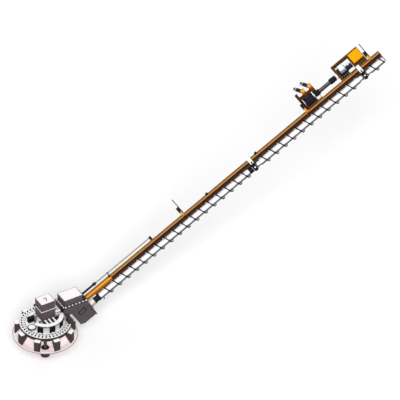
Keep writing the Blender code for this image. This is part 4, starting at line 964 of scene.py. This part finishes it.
def sensors():
    """Three level sensors on arms across the beam, each with a feeler rod beside it."""
    tilt, reach = radians(16.9), 0.498
    way = Vector((0.0, cos(tilt), sin(tilt)))
    arm_top, lid_top = 0.278, 0.3175
    arms, boxes, rods, bolts = (Form(BOOM) for _ in range(4))
    for x in SENSORS:
        arms.slab(x, 0.027, (BEAM_FRONT, DUCT_TOP), (0.290, arm_top))
        arms.slab(x, 0.027, (BEAM_FRONT, BEAM_TOP + GAP), (0.086, 0.262))
        boxes.slab(x, 0.045, (0.232, 0.2125), (0.382, 0.308))
        boxes.slab(x, 0.048, (0.229, 0.304), (0.385, lid_top))
        boxes.lathe(((lid_top, 0.024), (0.330, 0.024), (0.336, 0.016)), centre=(x, 0.307, 0.0), segments=24)
        root = Vector((x + 0.039, 0.150, 0.265))
        rods.tube([root, root + way * reach], 0.012)
        rods.slab(x + 0.038, 0.014, (0.150, 0.254), (0.180, 0.282))
        bolts.bolt_rows((x,), (0.070, 0.115), (arm_top,), UPWARD, 0.014, 0.009)
    arms.piece("sensor_arms", "root amber", "sensor_1", "sensor_2", "sensor_3", bevel=0.004)
    boxes.piece("sensor_boxes", "black iron", bevel=0.005)
    rods.piece("sensor_rods", "black iron", sharp=30.0)
    bolts.piece("sensor_bolts", "bolt dark")


# Wheel drive

DRIVE_Y, DRIVE_Z = 0.440, 0.180
ON_DRIVE = dict(axis="x", centre=(0.0, DRIVE_Y, DRIVE_Z))
MOTOR_START, MOTOR_END = 7.900, 8.205
MOTOR_FOOT = 0.076
WHEEL_Y, WHEEL_Z = 0.540, 0.050
ON_WHEEL = dict(axis="x", centre=(0.0, WHEEL_Y, WHEEL_Z))


def motor():
    """The finned motor between two pale end shields, on its feet."""
    start, end = MOTOR_START, MOTOR_END
    fins, root_r, tip_r = 22, 0.096, 0.115
    outline = []
    for k in range(fins):
        for radius, part in ((root_r, 0.10), (tip_r, 0.20), (tip_r, 0.44), (root_r, 0.54)):
            angle = 2.0 * pi * (k + part) / fins
            outline.append((DRIVE_Y + radius * cos(angle), DRIVE_Z + radius * sin(angle)))
    body = Form(BOOM).prism(outline, "yz", start + 0.020, end - 0.004)
    body.lathe(((start + 0.006, 0.104), (start + 0.018, 0.110), (start + 0.024, 0.110)),
               segments=40, **ON_DRIVE)
    body.box((start + 0.050, DRIVE_Y - 0.090, 0.0463), (end - 0.050, DRIVE_Y + 0.090, MOTOR_FOOT))
    for x in (start + 0.075, end - 0.075):
        body.slab(x, 0.010, (DRIVE_Y - 0.070, 0.070), (DRIVE_Y + 0.070, 0.120))
    body.box((start + 0.085, DRIVE_Y - 0.052, 0.270), (end - 0.090, DRIVE_Y + 0.052, 0.312))
    body.piece("motor_body", "machine black", "motor", bevel=0.002)
    shields = Form(BOOM).lathe(
        ((start - 0.016, 0.030), (start - 0.016, 0.121), (start - 0.012, 0.125), (start + 0.006, 0.125),
         (start + 0.006, 0.030)), ring=True, **ON_DRIVE)
    shields.collar(end - 0.004, end + 0.030, 0.0215, 0.130, cut=0.003, **ON_DRIVE)
    shields.piece("motor_shields", "plate white", sharp=30.0)


def motor_tray():
    """The tray that carries the motor and the eye arms behind the beam, and its bolts."""
    near, far = 7.825, 8.362
    front, back = 0.168, 0.845
    low, top, block_top = 0.034, 0.046, 0.165
    tray = Form(BOOM)
    tray.box((near, front, low), (8.240, back, top))
    tray.box((8.238, 0.600, low), (far, back, top))
    tray.box((far - 0.014, front, low), (far, back, low + 0.014))
    tray.box((7.870, 0.096, DUCT_TOP), (8.200, 0.172, 0.2600))
    tray.box((near, front, low + 0.002), (far, 0.180, 0.240))
    tray.box((near + 0.010, BEAM_BACK + GAP, 0.166), (far - 0.010, 0.172, 0.237))
    for x0, y0, x1, y1, high in (
        (near, 0.600, 7.900, 0.900, block_top),
        (8.015, 0.640, 8.130, 0.835, 0.150),
        (8.243, 0.610, 8.361, 0.835, 0.150),
    ):
        tray.box((x0, y0, low + 0.004), (x1, y1, high))
    gusset = ((0.178, 0.044), (0.178, 0.200), (0.186, 0.200), (0.290, 0.044))
    for x in (near + 0.10, near + 0.27, near + 0.40):
        tray.prism(gusset, "yz", x - 0.004, x + 0.004)
    tray.piece("motor_tray_plates", "frame brown", "motor_tray", bevel=0.002, slot="beam_orange")
    bolts = Form(BOOM)
    bolts.bolt_rows((7.862,), (0.640, 0.740, 0.860), (block_top,), UPWARD, 0.026, 0.014)
    feet_x = (MOTOR_START + 0.070, MOTOR_END - 0.070)
    feet_y = (DRIVE_Y - 0.080, DRIVE_Y + 0.080)
    bolts.bolt_rows(feet_x, feet_y, (MOTOR_FOOT,), UPWARD, 0.016, 0.010)
    bolts.piece("motor_bolts", "bolt dark")


def eye_arms():
    """Two amber blocks with dark necks that end in pale eyes."""
    root_y = 0.765
    low, high = 0.1503, 0.250
    along, across = -0.122, 0.275
    mid = (low + high) / 2.0
    reach = hypot(along, across)
    blocks, necks, eyes, bushes = (Form(BOOM) for _ in range(4))
    for x in (8.072, 8.300):
        blocks.slab(x, 0.057, (root_y - 0.070, low), (root_y + 0.075, high))
        rows = (root_y - 0.045, root_y + 0.050)
        necks.bolt_rows((x - 0.038, x + 0.038), rows, (high,), UPWARD, 0.018, 0.010)
        turn = Matrix.Translation((x, root_y, mid)) @ Matrix.Rotation(atan2(across, along), 4, "Z")
        necks.box((0.060, -0.042, -0.034), (reach - 0.052, 0.042, 0.034), turn=turn)
        necks.lathe(((0.128, 0.040), (0.130, 0.046), (0.158, 0.046), (0.160, 0.040)), axis="x",
                    segments=24, turn=turn)
        eyes.box((reach - 0.044, -0.044, -0.026), (reach + 0.044, 0.044, 0.026), turn=turn)
        bushes.lathe(((-0.030, 0.006), (-0.030, 0.034), (0.030, 0.034), (0.033, 0.031), (0.033, 0.006)),
                     centre=(x + along, root_y + across, mid), segments=24, ring=True)
    blocks.piece("eye_blocks", "root amber", "eye_arm_1", "eye_arm_2", bevel=0.005)
    necks.piece("eye_necks", "machine black", bevel=0.003, slot="leg_paint")
    eyes.piece("eye_rings", "cap grey", bevel=0.010, steps=3)
    bushes.piece("eye_bushes", "black iron", sharp=30.0)


def cardan():
    """The cardan shaft with a forked joint at each end."""
    shaft_r, groove_r, flange_r = 0.055, 0.051, 0.082
    shaft = Form(BOOM, "cardan").lathe(
        ((8.410, shaft_r), (8.568, shaft_r), (8.570, groove_r), (8.576, groove_r), (8.578, shaft_r),
         (8.770, shaft_r)), segments=40, **ON_DRIVE)
    shaft.piece("cardan_tube", "shaft grey", "cardan_shaft", sharp=30.0)
    forks = Form(BOOM, "cardan")
    for mid, low, high, stub in (
        (8.3265, 8.243, 8.410, (8.2063, 8.245)),
        (8.8725, 8.770, 8.975, (8.973, 9.0993)),
    ):
        forks.lathe([(x, 0.020) for x in stub], segments=28, **ON_DRIVE)
        forks.lathe([(x, 0.056) for x in (low + 0.018, high - 0.018)], segments=28, **ON_DRIVE)
        for near, far, near_r, far_r in (
            (low, low + 0.020, 0.060, flange_r),
            (high - 0.020, high, flange_r, 0.060),
        ):
            disc = ((near, near_r), (near + 0.004, flange_r), (far - 0.004, flange_r), (far, far_r))
            forks.lathe(disc, segments=40, **ON_DRIVE)
        for side in (-1, 1):
            inner, outer = side * 0.050, side * 0.078
            forks.box((low + 0.010, DRIVE_Y + inner, DRIVE_Z - 0.034),
                      (mid + 0.030, DRIVE_Y + outer, DRIVE_Z + 0.034))
            forks.box((mid - 0.030, DRIVE_Y - 0.034, DRIVE_Z + inner),
                      (high - 0.010, DRIVE_Y + 0.034, DRIVE_Z + outer))
        for axis in ("y", "z"):
            forks.lathe(((-0.080, 0.022), (0.080, 0.022)), axis=axis, centre=(mid, DRIVE_Y, DRIVE_Z),
                        segments=20)
    forks.piece("cardan_forks", "black iron", bevel=0.0015)


def wheel_frame():
    """The open frame near the boom's outer end, its gussets, bearing plates and shaft collar."""
    near, far = 9.040, 9.930
    low, high = 0.137, 0.217
    inner, outer, bar = BEAM_BACK + GAP, 0.805, 0.070
    cross = 9.546
    bars = Form(BOOM)
    for y in (inner, outer - bar):
        bars.box((near, y, low), (far, y + bar, high))
    for start, end in ((near, near + bar), (cross, cross + 0.060), (far - bar, far)):
        bars.box((start, inner + bar - 0.002, low), (end, outer - bar + 0.002, high))
    bars.box((9.604, inner + bar - 0.004, high - 0.012), (far - bar + 0.004, 0.314, high - 0.001))
    for x in (9.556, 9.885):
        bars.box((x, 0.480, -0.005), (x + 0.015, 0.600, low + 0.010))
    bars.piece("frame_bars", "frame olive", "wheel_frame", bevel=0.004)
    gussets = Form(BOOM)
    columns = ((near + bar, 0.050), (cross, -0.050))
    rows = ((inner + bar, 0.050), (outer - bar, -0.050))
    for (x, out_x), (y, out_y) in product(columns, rows):
        gussets.prism(((x, y), (x + out_x, y), (x, y + out_y)), "xy", high - 0.040, high - 0.032)
    gussets.piece("frame_gussets", "frame olive", bevel=0.001)
    start, end = near - 0.050, near - 0.0002
    collar = Form(BOOM).lathe(
        ((start, 0.030), (start, 0.070), (start + 0.004, 0.074), (end, 0.074), (end, 0.030)),
        segments=36, ring=True, **ON_DRIVE)
    collar.piece("shaft_collar", "seam white", sharp=30.0)


def gearbox():
    """The wheel's gearbox with its pale cap, its neck and small fittings."""
    start, end = 9.1003, 9.360
    front, back = 0.320, 0.630
    seam = 0.138
    case = Form(BOOM)
    case.box((start + 0.004, front + 0.004, 0.000), (end - 0.004, back - 0.004, 0.130))
    case.box((start + 0.014, front + 0.018, 0.128), (end - 0.014, back - 0.018, 0.223))
    case.box((start, front, 0.120), (end, back, seam))
    for x in spaced(start + 0.030, end - 0.030, 5):
        case.slab(x, 0.005, (front, 0.010), (back, 0.122))
    case.lathe(((end - 0.010, 0.070), (9.400, 0.070), (9.404, 0.062), (9.500, 0.062), (9.504, 0.070),
                (9.540, 0.070)), segments=36, **ON_WHEEL)
    case.piece("gear_housing", "machine black", "wheel_gearbox", bevel=0.004, slot="case_paint")
    cap = Form(BOOM).box((9.165, 0.370, 0.215), (9.335, 0.600, 0.304))
    cap.box((9.172, 0.377, 0.302), (9.328, 0.593, 0.315))
    cap.piece("gear_cap", "cap grey", bevel=0.006)
    fittings = Form(BOOM)
    knob = ((0.110, 0.030), (0.150, 0.030), (0.156, 0.020))
    fittings.lathe(knob, centre=(9.455, 0.560, 0.0), segments=24)
    fittings.box((9.395, 0.585, 0.050), (9.520, 0.640, 0.105))
    fittings.box((9.160, 0.610, 0.223), (9.330, 0.626, 0.240))
    fittings.piece("gear_fittings", "plate white", bevel=0.003)
    bolts = Form(BOOM)
    columns = spaced(start + 0.020, end - 0.020, 5)
    bolts.bolt_rows(columns, (front + 0.009, back - 0.009), (seam,), UPWARD, 0.014, 0.009)
    bolts.piece("gear_bolts", "bolt bright")


def guard():
    """The folded guard over the wheel."""
    near, far = 9.598, 9.912
    front, back = 0.318, 0.720
    low, high, thick = 0.2173, 0.268, 0.006
    under = high - thick
    fold = ((near, low), (near + thick, low), (near + thick, under), (far - thick, under),
            (far - thick, low), (far, low), (far, high), (near, high))
    cover = Form(BOOM).prism(fold, "xz", front, back)
    cover.piece("guard_plate", "guard yellow", "wheel_guard", bevel=0.002)
    bolts = Form(BOOM)
    columns = spaced(near + 0.035, far - 0.035, 5)
    bolts.bolt_rows(columns, (front + 0.016, back - 0.016), (high,), UPWARD, 0.022, 0.010)
    bolts.piece("guard_bolts", "bolt black")


def wheel():
    """The lugged wheel: tyre, pale rim discs and axle."""
    low, high = 9.620, 9.862
    mid, half = (low + high) / 2.0, (high - low) / 2.0
    tyre = Form(BOOM, "wheel")
    section = mirrored(((half - 0.006, 0.118), (half, 0.126), (half, 0.158), (half - 0.012, 0.174)), mid)
    tyre.lathe(section, segments=64, ring=True, **ON_WHEEL)
    lugs, sweep = 12, 0.10
    root_r, tip_r = 0.170, 0.199
    lug = ((root_r, -0.11), (tip_r, -0.075), (tip_r, 0.075), (root_r, 0.11))
    halves = (((low + 0.006, 0.0), (mid + 0.014, sweep)), ((mid - 0.014, sweep), (high - 0.006, 0.0)))
    for k, ends in product(range(lugs), halves):
        loops = []
        for x, lean in ends:
            corners = [(r, 2.0 * pi * k / lugs + turn + lean) for r, turn in lug]
            loops.append([(x, WHEEL_Y + r * cos(a), WHEEL_Z + r * sin(a)) for r, a in corners])
        tyre.stack(loops)
    tyre.piece("wheel_tyre", "tyre rubber", "drive_wheel", bevel=0.002)
    rim = Form(BOOM, "wheel")
    for x in (low + 0.030, high - 0.040):
        rim.collar(x, x + 0.010, 0.024, 0.119, **ON_WHEEL)
    rim.collar(low + 0.010, high - 0.010, 0.0243, 0.052, segments=40, **ON_WHEEL)
    for x, way in ((low + 0.030, -1), (high - 0.030, 1)):
        rim.bolt_circle((x, WHEEL_Y, WHEEL_Z), (way, 0, 0), 0.085, 6, 0.018, 0.011)
    rim.piece("wheel_rim", "plate white", sharp=30.0)
    bar = ((9.558, 0.022), (9.561, 0.024), (9.895, 0.024), (9.898, 0.022))
    axle = Form(BOOM, "wheel").lathe(bar, segments=32, **ON_WHEEL)
    axle.piece("wheel_axle", "shaft grey", sharp=30.0, slot="light_steel")


# Picture

SIDE_ANGLE = radians(30.0)
HEIGHT_ANGLE = radians(40.0)
RIGHT = Vector((cos(SIDE_ANGLE), -sin(SIDE_ANGLE), 0.0))
UP = Vector((sin(HEIGHT_ANGLE) * sin(SIDE_ANGLE), sin(HEIGHT_ANGLE) * cos(SIDE_ANGLE), cos(HEIGHT_ANGLE)))
METRES_PER_PIXEL = 0.0268
FRAME_PIXELS = 400
SLEW_PIXEL = (45.2, 333.2)
FLOOR_Z = -0.770
FLOOR_SIZE = 90.0
FLOOR_TONE = 0.94
SKY_STRENGTH = 0.57
CAMERA_DISTANCE = 30.0
HOPPER_LIGHT = 2.4
HOPPER_LIGHT_SIZE = 0.12
HOPPER_LIGHT_PLACE = (0.36, 0.0, 0.12)
SUNS = (
    ("key light", 2.35, 24.0, (50.0, 0.0, -30.0)),
    ("fill light", 0.3, 80.0, (-40.0, 10.0, -30.0)),
)


def camera():
    """A parallel view from the front left and 40 degrees above."""
    middle = FRAME_PIXELS / 2.0
    aim = Vector((SLEW_X, 0.0, 0.0))
    aim += RIGHT * ((middle - SLEW_PIXEL[0]) * METRES_PER_PIXEL)
    aim += UP * ((SLEW_PIXEL[1] - middle) * METRES_PER_PIXEL)
    back = RIGHT.cross(UP).normalized()
    lens = bpy.data.cameras.new("picture camera")
    lens.type = "ORTHO"
    lens.ortho_scale = FRAME_PIXELS * METRES_PER_PIXEL
    lens.clip_end = 200.0
    made = put("picture_camera", lens)
    axes = Matrix((RIGHT, UP, back)).transposed().to_4x4()
    made.matrix_world = Matrix.Translation(aim + back * CAMERA_DISTANCE) @ axes
    bpy.context.scene.camera = made


def studio():
    """A pale floor below the outlet, and soft light from all round and above."""
    bm = bmesh.new()
    bmesh.ops.create_grid(bm, x_segments=1, y_segments=1, size=FLOOR_SIZE)
    mesh = bpy.data.meshes.new("floor")
    bm.to_mesh(mesh)
    bm.free()
    floor = put("studio_floor", mesh)
    floor.location = (SLEW_X, 0.0, FLOOR_Z)
    paint = bpy.data.materials.new("pale floor")
    paint.use_nodes = True
    surface = paint.node_tree.nodes["Principled BSDF"]
    surface.inputs["Base Color"].default_value = (FLOOR_TONE, FLOOR_TONE, FLOOR_TONE, 1.0)
    surface.inputs["Roughness"].default_value = 0.9
    surface.inputs["Specular IOR Level"].default_value = 0.1
    mesh.materials.append(paint)
    world = bpy.data.worlds.new("studio")
    world.use_nodes = True
    sky = world.node_tree.nodes["Background"]
    sky.inputs["Color"].default_value = (1.0, 1.0, 1.0, 1.0)
    sky.inputs["Strength"].default_value = SKY_STRENGTH
    bpy.context.scene.world = world
    for name, strength, spread, turn in SUNS:
        sun = bpy.data.lights.new(name, "SUN")
        sun.energy = strength
        sun.angle = radians(spread)
        put(name, sun).rotation_euler = tuple(radians(t) for t in turn)
    for degrees in (45.0, 135.0, 225.0, 315.0):
        glow = bpy.data.lights.new("hopper light", "POINT")
        glow.energy = HOPPER_LIGHT
        glow.shadow_soft_size = HOPPER_LIGHT_SIZE
        put("hopper light", glow).location = HUB @ about_z(degrees) @ Vector(HOPPER_LIGHT_PLACE)
    view = bpy.context.scene.view_settings
    view.view_transform = "Standard"
    view.look = "None"


for make in (camera, hopper, legs, slewing_ring, cage, centre_box, gear_case, case_trim, screw, beam,
             boards, duct, hangers, sensors, motor, motor_tray, eye_arms, cardan, wheel_frame, gearbox,
             guard, wheel, studio):
    make()
